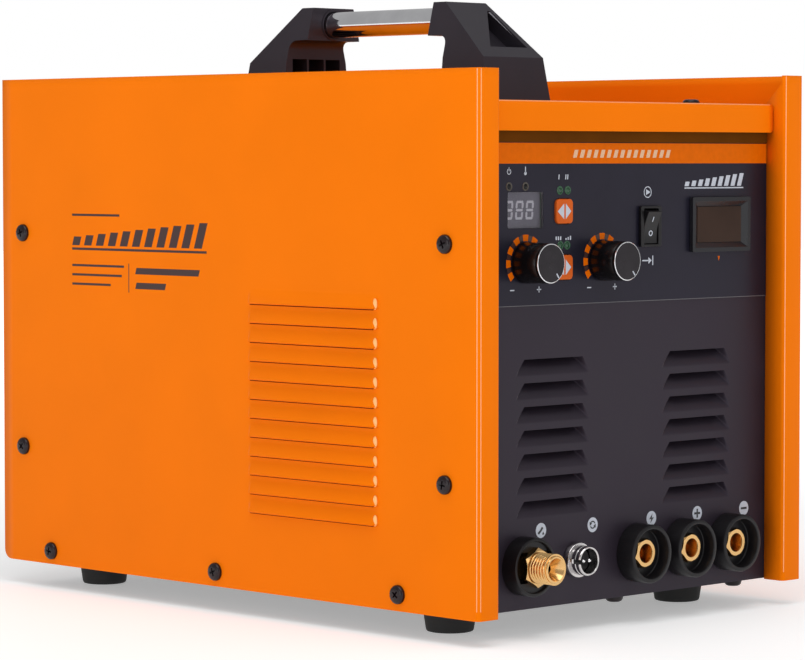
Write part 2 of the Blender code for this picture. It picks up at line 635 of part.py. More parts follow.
def handle_bracket(name, side, mats):
    """side is -1 for the front bracket and +1 for the rear one."""
    lower = [(101.0, 283.3), (97.0, 309.0), (LEG_INNER, 309.0), (LEG_INNER, 283.3)]
    upper = [
        (97.0, 309.0), (59.4, 340.7), (BOSS_END, 340.7), (BOSS_END, 321.5), (60.0, 321.5),
        (LEG_INNER - 1.0, 317.5), (LEG_INNER, 309.0),
    ]
    bm = bmesh.new()
    verts = {}
    for y, z in dict.fromkeys(lower + upper):
        half = bracket_half(z * mm)
        verts[(y, z)] = [bm.verts.new((x, side * y * mm, z * mm)) for x in (-half, half)]
    for outline in (lower, upper):
        for k in (0, 1):
            bm.faces.new([verts[p][k] for p in outline])
    around = lower[:1] + upper + lower[3:]
    for a, b in zip(around, around[1:] + around[:1]):
        bm.faces.new((verts[a][0], verts[b][0], verts[b][1], verts[a][1]))
    bracket = make(name, bm, mats["black_plastic"])
    cut(bracket, cylinder(bmesh.new(), TUBE_R + GAP, (0, 0, TUBE_Z), (side * 40 * mm, side * 58 * mm)))
    y = sorted((side * 58 * mm, side * 86 * mm))
    cut(bracket, box(bmesh.new(), (-19 * mm, 19 * mm), y, (288 * mm, 306 * mm)))
    pocket = [(-11.4 * mm, 9.0 * mm), (18.2 * mm, 9.0 * mm), (14.2 * mm, 42.0 * mm), (11.8 * mm, 42.0 * mm)]
    slope = math.atan2(340.7 - 309.0, 97.0 - 59.4)
    turned = Matrix.Translation((0, side * 97 * mm, 309 * mm)) @ Matrix.Rotation(-side * slope, 4, "X")
    block = bmesh.new()
    outline = [(x, -side * along) for x, along in pocket]
    prism(block, outline, (-9 * mm, 6 * mm), "Z")
    bmesh.ops.transform(block, matrix=turned, verts=block.verts)
    cut(bracket, block)


def handle_tube(mats):
    end, inner = 57.5 * mm, TUBE_R - 1.5 * mm
    profile = [(inner, -end), (TUBE_R, -end), (TUBE_R, end), (inner, end)]
    make("handle_tube", turn(bmesh.new(), profile, (0, 0, TUBE_Z)), mats["chrome"], smooth=True)


def foot(name, x, y, mats):
    top = TRAY_BOTTOM - GAP
    profile = [
        (0, 7 * mm), (4.5 * mm, 7 * mm), (4.5 * mm, 0), (FOOT_R[0] - 0.6 * mm, 0), (FOOT_R[0], 0.6 * mm),
        (FOOT_R[1], top), (0, top),
    ]
    make(name, turn(bmesh.new(), profile, (x, y, 0), "Z", 16), mats["rubber"], smooth=True)


# ---------------------------------------------------------------- rear


def cooling_fan(mats):
    x, z = FAN_AT
    rear = REAR_FACE - PANEL_SHEET - GAP
    front = rear - FAN_DEPTH
    half = FAN_SIDE / 2
    block = box(bmesh.new(), (x - half, x + half), (front, rear), (z - half, z + half))
    frame = make("fan_frame", block, mats["black_plastic"])
    cut(frame, cylinder(bmesh.new(), FAN_BORE_R, (x, 0, z), (front - 1 * mm, rear + 1 * mm)))
    y = (front + 0.5 * mm, front + 4 * mm)
    for half_x, half_z in ((58 * mm, 2.5 * mm), (2.5 * mm, 58 * mm)):
        fuse(frame, box(bmesh.new(), (x - half_x, x + half_x), y, (z - half_z, z + half_z)))
    fuse(frame, cylinder(bmesh.new(), 20 * mm, (x, 0, z), (front + 0.3 * mm, front + 4.5 * mm)))
    hub = [
        (0, front + 6 * mm), (22 * mm, front + 6 * mm), (22 * mm, rear - 5 * mm), (20 * mm, rear - 3 * mm),
        (0, rear - 3 * mm),
    ]
    hub = turn(bmesh.new(), hub, (x, 0, z))
    rotor = make("fan_rotor", hub, mats["black_plastic"], (x, (front + rear) / 2, z), True)
    blades = bmesh.new()
    for i in range(7):
        blade = box(bmesh.new(), (-0.9 * mm, 0.9 * mm), (-15 * mm, 15 * mm), (20 * mm, 54 * mm))
        bmesh.ops.transform(blade, matrix=Matrix.Rotation(math.radians(42), 4, "Z"), verts=blade.verts)
        middle = Matrix.Translation((x, (front + rear) / 2 + 1 * mm, z))
        spun = middle @ Matrix.Rotation(math.tau * i / 7, 4, "Y")
        bmesh.ops.transform(blade, matrix=spun, verts=blade.verts)
        append(blades, blade)
    fuse(rotor, blades)


def fan_guard(mats):
    x, z = FAN_AT
    near = REAR_FACE + GAP
    wire = 1.1 * mm
    ring = lambda r, y: [
        (r - wire, y - wire), (r + wire, y - wire), (r + wire, y + wire), (r - wire, y + wire)
    ]
    first = near + 4.5 * mm
    guard = make("fan_guard", turn(bmesh.new(), ring(54 * mm, first), (x, 0, z), "Y", 20), mats["wire"])
    for radius in (42 * mm, 30 * mm, 18 * mm):
        fuse(guard, turn(bmesh.new(), ring(radius, first), (x, 0, z), "Y", 16))
    for turned in (45, 135):
        spun = Matrix.Translation((x, 0, z)) @ Matrix.Rotation(math.radians(turned), 4, "Y")
        y = (first + 0.6 * mm, first + 2.6 * mm)
        bar = box(bmesh.new(), (-74 * mm, 74 * mm), y, (-1.2 * mm, 1.2 * mm))
        legs = bmesh.new()
        for leg in ((-73.5 * mm, -70 * mm), (70 * mm, 73.5 * mm)):
            box(legs, leg, (near, first + 1.6 * mm), (-2.0 * mm, 2.0 * mm))
        for piece in (bar, legs):
            bmesh.ops.transform(piece, matrix=spun, verts=piece.verts)
            fuse(guard, piece)


def power_switch(mats):
    x, z = SWITCH_AT
    near = REAR_FACE + GAP
    bezel = prism(bmesh.new(), rounded(42 * mm, 52 * mm, 3 * mm, 2, SWITCH_AT), (near, near + 3 * mm), "Y")
    body = make("power_switch_body", bezel, mats["black_plastic"])
    y, half = (130 * mm, near + 0.5 * mm), (18 * mm, 23 * mm)
    fuse(body, box(bmesh.new(), (x - half[0], x + half[0]), y, (z - half[1], z + half[1])))
    y, half = (near - 13 * mm, near + 4 * mm), (10 * mm, 12 * mm)
    cut(body, box(bmesh.new(), (x - half[0], x + half[0]), y, (z - half[1], z + half[1])))
    pivot = Vector((x, near - 4 * mm, z))
    section = [
        (-3.0, -3.4), (-3.4, 0.0), (-2.6, 6.0), (-2.0, 15.0), (2.0, 15.0), (2.6, 6.0), (3.4, 0.0),
        (3.0, -3.4),
    ]
    lever = prism(bmesh.new(), tilted(section, pivot, LEVER_TILT), (x - 8.5 * mm, x + 8.5 * mm), "X")
    make("power_switch_lever", lever, mats["black_plastic"], pivot)


def rear_fittings(mats):
    near = REAR_FACE + GAP
    reach = -(PANEL_FACE - TORCH_REACH)
    at = (GLAND_AT[0], 0, GLAND_AT[1])
    gland = [
        (5.2 * mm, 176 * mm), (8.6 * mm, 176 * mm), (8.6 * mm, near), (13 * mm, near),
        (13 * mm, near + 6 * mm), (11.5 * mm, near + 7 * mm), (11 * mm, reach - 5 * mm),
        (8 * mm, reach), (5.2 * mm, reach),
    ]
    make("cable_gland", turn(bmesh.new(), gland, at, "Y", 20), mats["black_plastic"], smooth=True)
    at = (INLET_AT[0], 0, INLET_AT[1])
    inlet = [
        (2.5 * mm, 172 * mm), (6.7 * mm, 172 * mm), (6.7 * mm, near), (10 * mm, near),
        (10 * mm, near + 4 * mm), (5.2 * mm, near + 5 * mm), (5.2 * mm, near + 10 * mm),
        (4.2 * mm, near + 11 * mm), (4.2 * mm, near + 13 * mm), (5.6 * mm, near + 14 * mm),
        (4.6 * mm, near + 19 * mm), (2.5 * mm, near + 19 * mm),
    ]
    make("air_inlet", turn(bmesh.new(), inlet, at, "Y", 20), mats["brass"], smooth=True)


# ---------------------------------------------------------------- inside


def inner_baffle(mats):
    floor = TRAY_BOTTOM + PANEL_SHEET + GAP
    outline = [(12, 0), (13.2, 0), (13.2, 232), (12, 232), (12, 1.2), (2, 1.2), (2, 0)]
    outline = [(x * mm, floor + z * mm) for x, z in outline]
    make("inner_baffle", prism(bmesh.new(), outline, (-112 * mm, 142 * mm), "Y"), mats["zinc"])


def power_electronics(mats):
    board = box(bmesh.new(), (-30 * mm, -28.4 * mm), (-150 * mm, 140 * mm), (100 * mm, 258 * mm))
    make("power_board", board, mats["board"])
    sink = box(bmesh.new(), (-36 * mm, -30.3 * mm), (-110 * mm, 110 * mm), (120 * mm, 176 * mm))
    heat_sink = make("heat_sink", sink, mats["aluminium"])
    fins = bmesh.new()
    for i in range(8):
        z = (121 + 7.5 * i) * mm
        box(fins, (-72 * mm, -35 * mm), (-109 * mm, 109 * mm), (z, z + 1.6 * mm))
    fuse(heat_sink, fins)
    floor = TRAY_BOTTOM + PANEL_SHEET + GAP
    core = box(bmesh.new(), (-105 * mm, -45 * mm), (-70 * mm, -10 * mm), (floor, floor + 60 * mm))
    transformer = make("transformer", core, mats["ferrite"])
    coil = ((-112 * mm, -38 * mm), (-62 * mm, -18 * mm), (floor + 10 * mm, floor + 50 * mm))
    fuse(transformer, box(bmesh.new(), *coil))
    choke = [
        (14 * mm, -16 * mm), (32 * mm, -16 * mm), (36 * mm, 0), (32 * mm, 16 * mm), (14 * mm, 16 * mm),
        (10 * mm, 0),
    ]
    at = (-75 * mm, 60 * mm, floor + 16.5 * mm)
    make("output_choke", turn(bmesh.new(), choke, at, "Z", 24), mats["copper"], smooth=True)
    for i, z in enumerate((215 * mm, 175 * mm)):
        can = cylinder(bmesh.new(), 15 * mm, (0, 20 * mm, z), (-28.1 * mm, 6 * mm), 20, "X")
        make(f"bus_capacitor_{i + 1}", can, mats["capacitor"], smooth=True)


def compressor(mats):
    x, z = COMPRESSOR_AT
    front, rear = MOTOR_Y
    motor = [
        (4.3 * mm, front), (MOTOR_R - 6 * mm, front), (MOTOR_R, front + 8 * mm), (MOTOR_R, rear),
        (4.3 * mm, rear),
    ]
    case = make("compressor_motor", turn(bmesh.new(), motor, (x, 0, z)), mats["aluminium"], smooth=True)
    floor = TRAY_BOTTOM + PANEL_SHEET + GAP
    y = (front + 12 * mm, rear - 12 * mm)
    fuse(case, box(bmesh.new(), (x - 34 * mm, x + 34 * mm), y, (floor, z - 34 * mm)))
    cut(case, cylinder(bmesh.new(), 4.3 * mm, (x, 0, z), (front - 1 * mm, rear + 1 * mm)))
    start = rear + GAP
    y = (start, start + 58 * mm)
    crank = box(bmesh.new(), (x - 26 * mm, x + 26 * mm), y, (z - 26 * mm, z + 26 * mm))
    head = make("compressor_cylinder", crank, mats["aluminium"])
    profile = [(0, z + 20 * mm), (21 * mm, z + 20 * mm)]
    for i in range(5):
        low = z + (27 + 8 * i) * mm
        profile += [(21 * mm, low), (29 * mm, low), (29 * mm, low + 2.4 * mm), (21 * mm, low + 2.4 * mm)]
    profile += [(21 * mm, z + 68 * mm), (27 * mm, z + 69 * mm), (27 * mm, z + 82 * mm), (0, z + 82 * mm)]
    fuse(head, turn(bmesh.new(), profile, (x, start + 30 * mm, 0), "Z", 14))
    cut(head, cylinder(bmesh.new(), 18 * mm, (x, 0, z), (start - 1 * mm, start + 40 * mm)))
    shaft = [
        (0, front - 26 * mm), (10 * mm, front - 26 * mm), (10 * mm, front - 8 * mm),
        (4 * mm, front - 8 * mm), (4 * mm, rear + 8 * mm), (14 * mm, rear + 8 * mm),
        (14 * mm, rear + 18 * mm), (0, rear + 18 * mm),
    ]
    rotor = make("compressor_rotor", turn(bmesh.new(), shaft, (x, 0, z)), mats["zinc"], (x, 0, z), True)
    blades = bmesh.new()
    for i in range(6):
        blade = box(bmesh.new(), (-0.9 * mm, 0.9 * mm), (-8 * mm, 8 * mm), (8 * mm, 34 * mm))
        bmesh.ops.transform(blade, matrix=Matrix.Rotation(math.radians(35), 4, "Z"), verts=blade.verts)
        spun = Matrix.Translation((x, front - 17 * mm, z)) @ Matrix.Rotation(math.tau * i / 6, 4, "Y")
        bmesh.ops.transform(blade, matrix=spun, verts=blade.verts)
        append(blades, blade)
    fuse(rotor, blades)


def air_line(mats):
    block = box(bmesh.new(), (30 * mm, 54 * mm), (-146 * mm, -122 * mm), (60 * mm, 84 * mm))
    valve = make("solenoid_valve", block, mats["brass"])
    fuse(valve, cylinder(bmesh.new(), 13 * mm, (42 * mm, -134 * mm, 0), (83 * mm, 118 * mm), 16, "Z"))
    hose("torch_hose", TORCH_HOSE, mats)
    hose("compressor_hose", COMPRESSOR_HOSE, mats)


def hose(name, route, mats):
    """A round hose along one smooth curve through the route's points."""
    points = smooth_route([Vector(p) * mm for p in route], 3)
    curve = bpy.data.curves.new(name, "CURVE")
    curve.dimensions = "3D"
    curve.bevel_depth = 4.0 * mm
    curve.bevel_resolution = 2
    curve.use_fill_caps = True
    spline = curve.splines.new("POLY")
    spline.points.add(len(points) - 1)
    for slot, point in zip(spline.points, points):
        slot.co = (*point, 1.0)
    obj = bpy.data.objects.new(name, curve)
    obj.data.materials.append(mats["hose"])
    bpy.context.scene.collection.objects.link(obj)


def smooth_route(route, steps):
    """Points along a Catmull-Rom curve through the route."""
    ends = [2 * route[0] - route[1]] + route + [2 * route[-1] - route[-2]]
    points = []
    for a, b, c, d in zip(ends, ends[1:], ends[2:], ends[3:]):
        for i in range(steps):
            t = i / steps
            square = (2 * a - 5 * b + 4 * c - d) * t**2
            points.append(0.5 * (2 * b + (c - a) * t + square + (3 * b - a - 3 * c + d) * t**3))
    return points + [route[-1]]


# ---------------------------------------------------------------- assembly


def materials():
    return {
        "orange": material("orange_powder_coat", (0.93, 0.22, 0.008), 0.42),
        "dark_panel": material("dark_powder_coat", (0.045, 0.040, 0.046), 0.55),
        "dark_print": material("printed_overlay", (0.04, 0.036, 0.042), 0.5),
        "black_steel": material("black_steel", (0.03, 0.03, 0.032), 0.5),
        "black_plastic": material("black_plastic", (0.018, 0.017, 0.019), 0.45),
        "knob": material("knob_plastic", (0.012, 0.012, 0.013), 0.35),
        "brushed": material("brushed_cap", (0.35, 0.35, 0.36), 0.3, 1.0),
        "button": material("orange_button", (0.8, 0.16, 0.02), 0.4),
        "smoked": material("smoked_window", (0.06, 0.06, 0.07), 0.1),
        "brass": material("brass", (0.78, 0.5, 0.2), 0.25, 1.0),
        "chrome": material("chrome", (0.75, 0.75, 0.77), 0.08, 1.0),
        "zinc": material("zinc_steel", (0.5, 0.5, 0.5), 0.4, 1.0),
        "wire": material("guard_wire", (0.03, 0.03, 0.03), 0.4),
        "rubber": material("rubber", (0.02, 0.02, 0.02), 0.8),
        "board": material("circuit_board", (0.02, 0.13, 0.05), 0.5),
        "aluminium": material("aluminium", (0.6, 0.6, 0.62), 0.4, 1.0),
        "ferrite": material("ferrite", (0.06, 0.06, 0.065), 0.6),
        "copper": material("copper_winding", (0.5, 0.2, 0.08), 0.4, 1.0),
        "capacitor": material("capacitor_sleeve", (0.03, 0.04, 0.1), 0.4),
        "hose": material("air_hose", (0.03, 0.06, 0.2), 0.4),
    }


def main():
    clear_scene()
    mats = materials()
    base_tray(mats)
    side_cover("side_cover_left", -1, mats)
    side_cover("side_cover_right", 1, mats)
    top_cover(mats)
    front_panel(mats)
    rear_panel(mats)
    front_overlay(mats)
    display(mats)
    control_board(mats)
    push_button("mode_button", BUTTON_Z[0], mats)
    push_button("process_button", BUTTON_Z[1], mats)
    for name, x in zip(("current", "delay"), KNOB_X):
        knob(f"{name}_knob", x, mats)
        potentiometer(f"{name}_pot", x, mats)
    rocker_switch(mats)
    panel_meter(mats)
    torch_outlet(mats)
    control_connector(mats)
    for name, x in SOCKET_X.items():
        cable_socket(name, x, mats)
    handle_bracket("handle_bracket_front", -1, mats)
    handle_bracket("handle_bracket_rear", 1, mats)
    handle_tube(mats)
    for side, x in (("left", -FOOT_X), ("right", FOOT_X)):
        for end, y in zip(("front", "rear"), FOOT_Y):
            foot(f"foot_{end}_{side}", x, y, mats)
    cooling_fan(mats)
    fan_guard(mats)
    power_switch(mats)
    rear_fittings(mats)
    inner_baffle(mats)
    power_electronics(mats)
    compressor(mats)
    air_line(mats)


main()
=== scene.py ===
"""The looks of the plasma cutter unit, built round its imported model. Metres, in the model's own frame."""

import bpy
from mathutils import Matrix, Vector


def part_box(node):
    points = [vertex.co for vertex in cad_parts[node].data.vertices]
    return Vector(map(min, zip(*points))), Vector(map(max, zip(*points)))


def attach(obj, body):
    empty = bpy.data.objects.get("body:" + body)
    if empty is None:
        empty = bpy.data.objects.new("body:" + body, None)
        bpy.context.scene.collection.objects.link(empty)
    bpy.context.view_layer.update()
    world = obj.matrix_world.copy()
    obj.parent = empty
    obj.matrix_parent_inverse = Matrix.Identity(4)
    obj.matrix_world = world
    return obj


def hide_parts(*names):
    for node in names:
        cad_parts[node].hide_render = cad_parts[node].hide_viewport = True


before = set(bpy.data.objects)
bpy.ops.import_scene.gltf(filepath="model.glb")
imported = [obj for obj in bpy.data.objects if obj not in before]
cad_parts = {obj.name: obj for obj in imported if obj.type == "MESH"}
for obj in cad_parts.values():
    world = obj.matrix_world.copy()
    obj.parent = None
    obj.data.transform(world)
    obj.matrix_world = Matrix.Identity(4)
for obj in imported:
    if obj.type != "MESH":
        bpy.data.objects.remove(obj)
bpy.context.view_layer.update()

import math

import bmesh
import bpy
from mathutils import Matrix, Vector

mm = 0.001


def low(node):
    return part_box(node)[0]


def high(node):
    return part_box(node)[1]


def middle(node):
    return (low(node) + high(node)) / 2


# Case, read from the frame
LOUVRE_OUT = 2.8 * mm
HALF_WIDTH = high("side_cover_right").x - LOUVRE_OUT
FLANGE_EDGE = low("side_cover_right").x
FRONT, REAR = low("side_cover_right").y, high("side_cover_right").y
COVER_BOTTOM, COVER_TOP = low("side_cover_right").z, high("side_cover_right").z
TOP, LIP_BOTTOM, LIP = high("top_cover").z, low("top_cover").z, low("top_cover").y
PANEL, PANEL_HALF = low("front_panel").y, high("front_panel").x
PANEL_TOP, PANEL_BOTTOM = high("front_panel").z, low("front_panel").z
OVERLAY, OVERLAY_LOW, OVERLAY_TOP = low("front_overlay").y, low("front_overlay").z, high("front_overlay").z
REAR_FACE = high("rear_panel").y
TRAY_BOTTOM = low("base_tray").z
SHEET = 1.2 * mm
BEND = 2.5 * mm
INK = 0.06 * mm

# Louvres: cut line heights, spans, and how far and how high each is pressed
SIDE_LINES = [(173.3 - 10.45 * i) * mm for i in range(12)]
SIDE_SPAN = (-124.7 * mm, -20.5 * mm)
SIDE_RISE, SIDE_TAPER = 7.5 * mm, 3.4 * mm
FRONT_LINES = [(146.8 - 12.5 * i) * mm for i in range(7)]
FRONT_SPANS = ((-89.1 * mm, -31.7 * mm), (26.5 * mm, 84.7 * mm))
FRONT_RISE, FRONT_DEPTH, FRONT_TAPER = 8.5 * mm, 6.2 * mm, 1.8 * mm
FRONT_SKEW = (6.9 * mm, 5.4 * mm)


# ---------------------------------------------------------------- mesh tools


def prism(outline, span, axis="Y", bm=None):
    """The outline, whose points lie across the axis, extruded over span along it."""
    bm = bm or bmesh.new()
    place = {
        "X": lambda a, b, along: (along, a, b),
        "Y": lambda a, b, along: (a, along, b),
        "Z": lambda a, b, along: (a, b, along),
    }[axis]
    rings = [[bm.verts.new(place(a, b, along)) for a, b in outline] for along in span]
    bm.faces.new(rings[0])
    bm.faces.new(reversed(rings[1]))
    for i in range(len(outline)):
        j = (i + 1) % len(outline)
        bm.faces.new((rings[0][j], rings[0][i], rings[1][i], rings[1][j]))
    return bm


def block(x, y, z, bm=None):
    """A box between the pairs x, y and z."""
    return prism([(x[0], y[0]), (x[1], y[0]), (x[1], y[1]), (x[0], y[1])], z, "Z", bm)


def turn(profile, centre, axis="Y", steps=48, bm=None):
    """A turned solid. profile holds (radius, along); radius 0 at both ends closes it on the axis."""
    bm = bm or bmesh.new()
    place = {
        "X": lambda u, v, along: (along, u, v),
        "Y": lambda u, v, along: (u, along, v),
        "Z": lambda u, v, along: (u, v, along),
    }[axis]
    rings = []
    for radius, along in profile:
        ring = []
        for i in range(1 if radius == 0 else steps):
            angle = math.tau * i / steps
            point = Vector(place(radius * math.cos(angle), radius * math.sin(angle), along))
            ring.append(bm.verts.new(point + Vector(centre)))
        rings.append(ring)
    pairs = list(zip(rings, rings[1:]))
    if profile[0][0] > 0:
        pairs.append((rings[-1], rings[0]))
    for first, second in pairs:
        for i in range(steps):
            j = (i + 1) % steps
            corners = [first[i % len(first)], second[i % len(second)], second[j % len(second)], first[j % len(first)]]
            bm.faces.new(list(dict.fromkeys(corners)))
    return bm


def rounded(width, height, radius, centre=(0, 0), steps=6):
    """The outline of a rectangle with round corners."""
    points = []
    for quarter, (sx, sy) in enumerate(((1, 1), (-1, 1), (-1, -1), (1, -1))):
        for i in range(steps + 1):
            angle = math.pi / 2 * (quarter + i / steps)
            x = centre[0] + sx * (width / 2 - radius) + radius * math.cos(angle)
            y = centre[1] + sy * (height / 2 - radius) + radius * math.sin(angle)
            points.append((x, y))
    return points


def disc(radius, centre, steps=32):
    return [
        (centre[0] + radius * math.cos(math.tau * i / steps), centre[1] + radius * math.sin(math.tau * i / steps))
        for i in range(steps)
    ]


def sector(inner, outer, start, end, centre, steps=8):
    """The outline of a piece of a ring between two angles in degrees, anticlockwise from +X."""
    angles = [math.radians(start + (end - start) * i / steps) for i in range(steps + 1)]
    points = [(outer * math.cos(a), outer * math.sin(a)) for a in angles]
    points += [(inner * math.cos(a), inner * math.sin(a)) for a in reversed(angles)]
    return [(centre[0] + x, centre[1] + z) for x, z in points]


def stroke(start, end, width):
    """The outline of a straight line of this width."""
    along = (Vector(end) - Vector(start)).normalized()
    side = Vector((-along.y, along.x)) * width / 2
    return [tuple(p) for p in (Vector(start) + side, Vector(start) - side, Vector(end) - side, Vector(end) + side)]


def arc(centre, radius, start, end, steps=6):
    """Points along an arc, in degrees."""
    angles = [math.radians(start + (end - start) * i / steps) for i in range(steps + 1)]
    return [(centre[0] + radius * math.cos(a), centre[1] + radius * math.sin(a)) for a in angles]


def append(target, source):
    """Adds the points and faces of source to target, and frees source."""
    made = {v: target.verts.new(v.co) for v in source.verts}
    for face in source.faces:
        target.faces.new([made[v] for v in face.verts])
    source.free()
    return target


def loose(name, bm):
    bmesh.ops.recalc_face_normals(bm, faces=bm.faces)
    mesh = bpy.data.meshes.new(name)
    bm.to_mesh(mesh)
    bm.free()
    obj = bpy.data.objects.new(name, mesh)
    bpy.context.scene.collection.objects.link(obj)
    return obj


def boolean(bm, other, operation="DIFFERENCE"):
    """A new bmesh: bm after a Boolean with other. Both are freed."""
    first, second = loose("boolean_first", bm), loose("boolean_second", other)
    modifier = first.modifiers.new("Boolean", "BOOLEAN")
    modifier.operation = operation
    modifier.solver = "EXACT"
    modifier.object = second
    result = bmesh.new()
    result.from_object(first, bpy.context.evaluated_depsgraph_get())
    for obj in (first, second):
        mesh = obj.data
        bpy.data.objects.remove(obj)
        bpy.data.meshes.remove(mesh)
    return result


def bevel(obj, width, segments=3, angle=30):
    modifier = obj.modifiers.new("Bevel", "BEVEL")
    modifier.width = width
    modifier.segments = segments
    modifier.limit_method = "ANGLE"
    modifier.angle_limit = math.radians(angle)
    modifier.harden_normals = True
    modifier.use_clamp_overlap = True


def settle(obj, body="case", nodes=()):
    """Rides obj on its body, and lets it stand for CAD nodes."""
    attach(obj, body)
    if nodes:
        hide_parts(*nodes)
    return obj


def piece(name, bm, mat, body="case", nodes=(), edge=0.0, segments=3, sharp=None):
    """A piece from bm, whose points are in the model's frame. edge is the width of its rounded edges."""
    obj = loose(name, bm)
    obj.data.materials.append(mat)
    obj.data.shade_smooth()
    if sharp is None:
        sharp = 180 if edge else 35
    if sharp < 180:
        obj.data.set_sharp_from_angle(angle=math.radians(sharp))
    if edge:
        bevel(obj, edge, segments)
    return settle(obj, body, nodes)


def carried(node, mat, edge=0.0, segments=2):
    """Gives a CAD node that stays a material, and rounds its edges."""
    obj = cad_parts[node]
    obj.data.materials.clear()
    obj.data.materials.append(mat)
    if edge:
        weld = obj.modifiers.new("Weld", "WELD")
        weld.merge_threshold = 0.01 * mm
        bevel(obj, edge, segments, 40)
    return obj


def ink(name, outlines, mat, face=None, body="case"):
    """Flat printed shapes on the front, a film thick. face is the y of the surface they are on."""
    face = OVERLAY if face is None else face
    bm = bmesh.new()
    for outline in outlines:
        prism(outline, (face - INK, face - 0.01 * mm), "Y", bm)
    return piece(name, bm, mat, body, sharp=20)


# ---------------------------------------------------------------- materials


def socket(shader, name, value):
    shader.inputs[name].default_value = value


class Finish:
    """A Principled material whose colour, roughness and relief vary over the surface."""

    def __init__(self, name, colour, roughness, metallic=0.0, **more):
        self.mat = bpy.data.materials.new(name)
        self.mat.use_nodes = True
        self.tree = self.mat.node_tree
        self.shader = self.tree.nodes["Principled BSDF"]
        self.colour, self.roughness = colour, roughness
        socket(self.shader, "Base Color", (*colour, 1.0))
        socket(self.shader, "Roughness", roughness)
        socket(self.shader, "Metallic", metallic)
        for key, value in more.items():
            socket(self.shader, key.replace("_", " "), value)
        self.where = self.node("ShaderNodeTexCoord").outputs["Object"]
        self.normal = None

    def node(self, kind, **values):
        made = self.tree.nodes.new(kind)
        for key, value in values.items():
            made.inputs[key].default_value = value
        return made

    def link(self, a, b):
        self.tree.links.new(a, b)

    def noise(self, size, detail=2.0, stretch=(1, 1, 1)):
        """Noise with features of this size in metres. stretch lengthens them along an axis."""
        made = self.node("ShaderNodeTexNoise", Scale=1 / size, Detail=detail)
        source = self.where
        if stretch != (1, 1, 1):
            mapping = self.node("ShaderNodeMapping", Scale=tuple(1 / s for s in stretch))
            self.link(source, mapping.inputs["Vector"])
            source = mapping.outputs["Vector"]
        self.link(source, made.inputs["Vector"])
        return made.outputs["Fac"]

    def ranged(self, value, low_out, high_out, low_in=0.3, high_in=0.7):
        made = self.node("ShaderNodeMapRange")
        self.link(value, made.inputs["Value"])
        for key, number in (("From Min", low_in), ("From Max", high_in), ("To Min", low_out), ("To Max", high_out)):
            made.inputs[key].default_value = number
        return made.outputs["Result"]

    def vary(self, size, colour_share=0.05, roughness_by=0.05, stretch=(1, 1, 1)):
        """Lightens and darkens the colour by a share, and shifts the roughness, in patches of this size."""
        fac = self.noise(size, 3.0, stretch)
        mix = self.node("ShaderNodeMix")
        mix.data_type = "RGBA"
        mix.inputs[6].default_value = (*[c * (1 - colour_share) for c in self.colour], 1)
        mix.inputs[7].default_value = (*[min(1, c * (1 + colour_share)) for c in self.colour], 1)
        self.link(self.ranged(fac, 0, 1), mix.inputs[0])
        self.link(mix.outputs[2], self.shader.inputs["Base Color"])
        low_r, high_r = max(0.02, self.roughness - roughness_by), min(1, self.roughness + roughness_by)
        self.link(self.ranged(fac, low_r, high_r), self.shader.inputs["Roughness"])
        return self

    def relief(self, value, depth):
        """Adds height, of this depth in metres, to the surface's bump."""
        made = self.node("ShaderNodeBump", Strength=1.0, Distance=depth)
        self.link(value, made.inputs["Height"])
        if self.normal is not None:
            self.link(self.normal, made.inputs["Normal"])
        self.normal = made.outputs["Normal"]
        self.link(self.normal, self.shader.inputs["Normal"])
        return self

    def grain(self, size, depth, detail=2.0, stretch=(1, 1, 1)):
        return self.relief(self.noise(size, detail, stretch), depth)

    def rings(self, centre, spacing, depth, axis="Y"):
        """Fine turned grooves round an axis through the centre."""
        mapping = self.node("ShaderNodeMapping", Location=tuple(-c for c in centre))
        self.link(self.where, mapping.inputs["Vector"])
        wave = self.node("ShaderNodeTexWave", Scale=1 / spacing / 20 * math.pi, Distortion=1.5)
        wave.wave_type = "RINGS"
        wave.rings_direction = axis
        self.link(mapping.outputs["Vector"], wave.inputs["Vector"])
        return self.relief(wave.outputs["Fac"], depth)


WARM = (1.0, 0.55, 0.1, 1.0)
COOL = (0.88, 0.78, 0.95, 1.0)


def paint(name, colour, roughness=0.36):
    """Powder coat: a shallow orange peel over a fine grain."""
    made = Finish(name, colour, roughness, Specular_IOR_Level=0.06, Specular_Tint=WARM)
    made.vary(60 * mm, 0.025, 0.03)
    return made.grain(1.4 * mm, 0.012 * mm, 1.0).grain(0.35 * mm, 0.004 * mm).mat


def textured(name, colour, roughness=0.5, size=0.5 * mm, depth=0.03 * mm, **more):
    """Moulded plastic or textured paint with an even, fine grain."""
    made = Finish(name, colour, roughness, **more)
    made.vary(25 * mm, 0.12, 0.05)
    return made.grain(size, depth, 3.0).mat


def metal(name, colour, roughness, stretch=(1, 1, 1), size=1.2 * mm, depth=0.006 * mm):
    """Bare or plated metal with fine marks that run along the stretched axis."""
    made = Finish(name, colour, roughness, 1.0)
    made.vary(12 * mm, 0.06, 0.05)
    return made.grain(size, depth, 2.0, stretch).mat


def printed(name, colour, roughness=0.45, **more):
    made = Finish(name, colour, roughness, **more)
    return made.vary(3 * mm, 0.04, 0.04).mat


def spun(name, colour, roughness):
    """Metal with turned marks, which draw its highlights out into wedges from the centre."""
    made = Finish(name, colour, roughness, 1.0, Anisotropic=0.8)
    tangent = made.node("ShaderNodeTangent")
    tangent.direction_type = "RADIAL"
    tangent.axis = "Y"
    made.link(tangent.outputs["Tangent"], made.shader.inputs["Tangent"])
    return made.vary(6 * mm, 0.05, 0.02).mat


def board_finish():
    """Green board: pale copper tracks under the mask."""
    made = Finish("circuit_board", (0.012, 0.12, 0.045), 0.35)
    made.vary(2.5 * mm, 0.45, 0.08, (1, 1, 6))
    return made.grain(2.5 * mm, 0.05 * mm, 0.0, (1, 1, 6)).mat


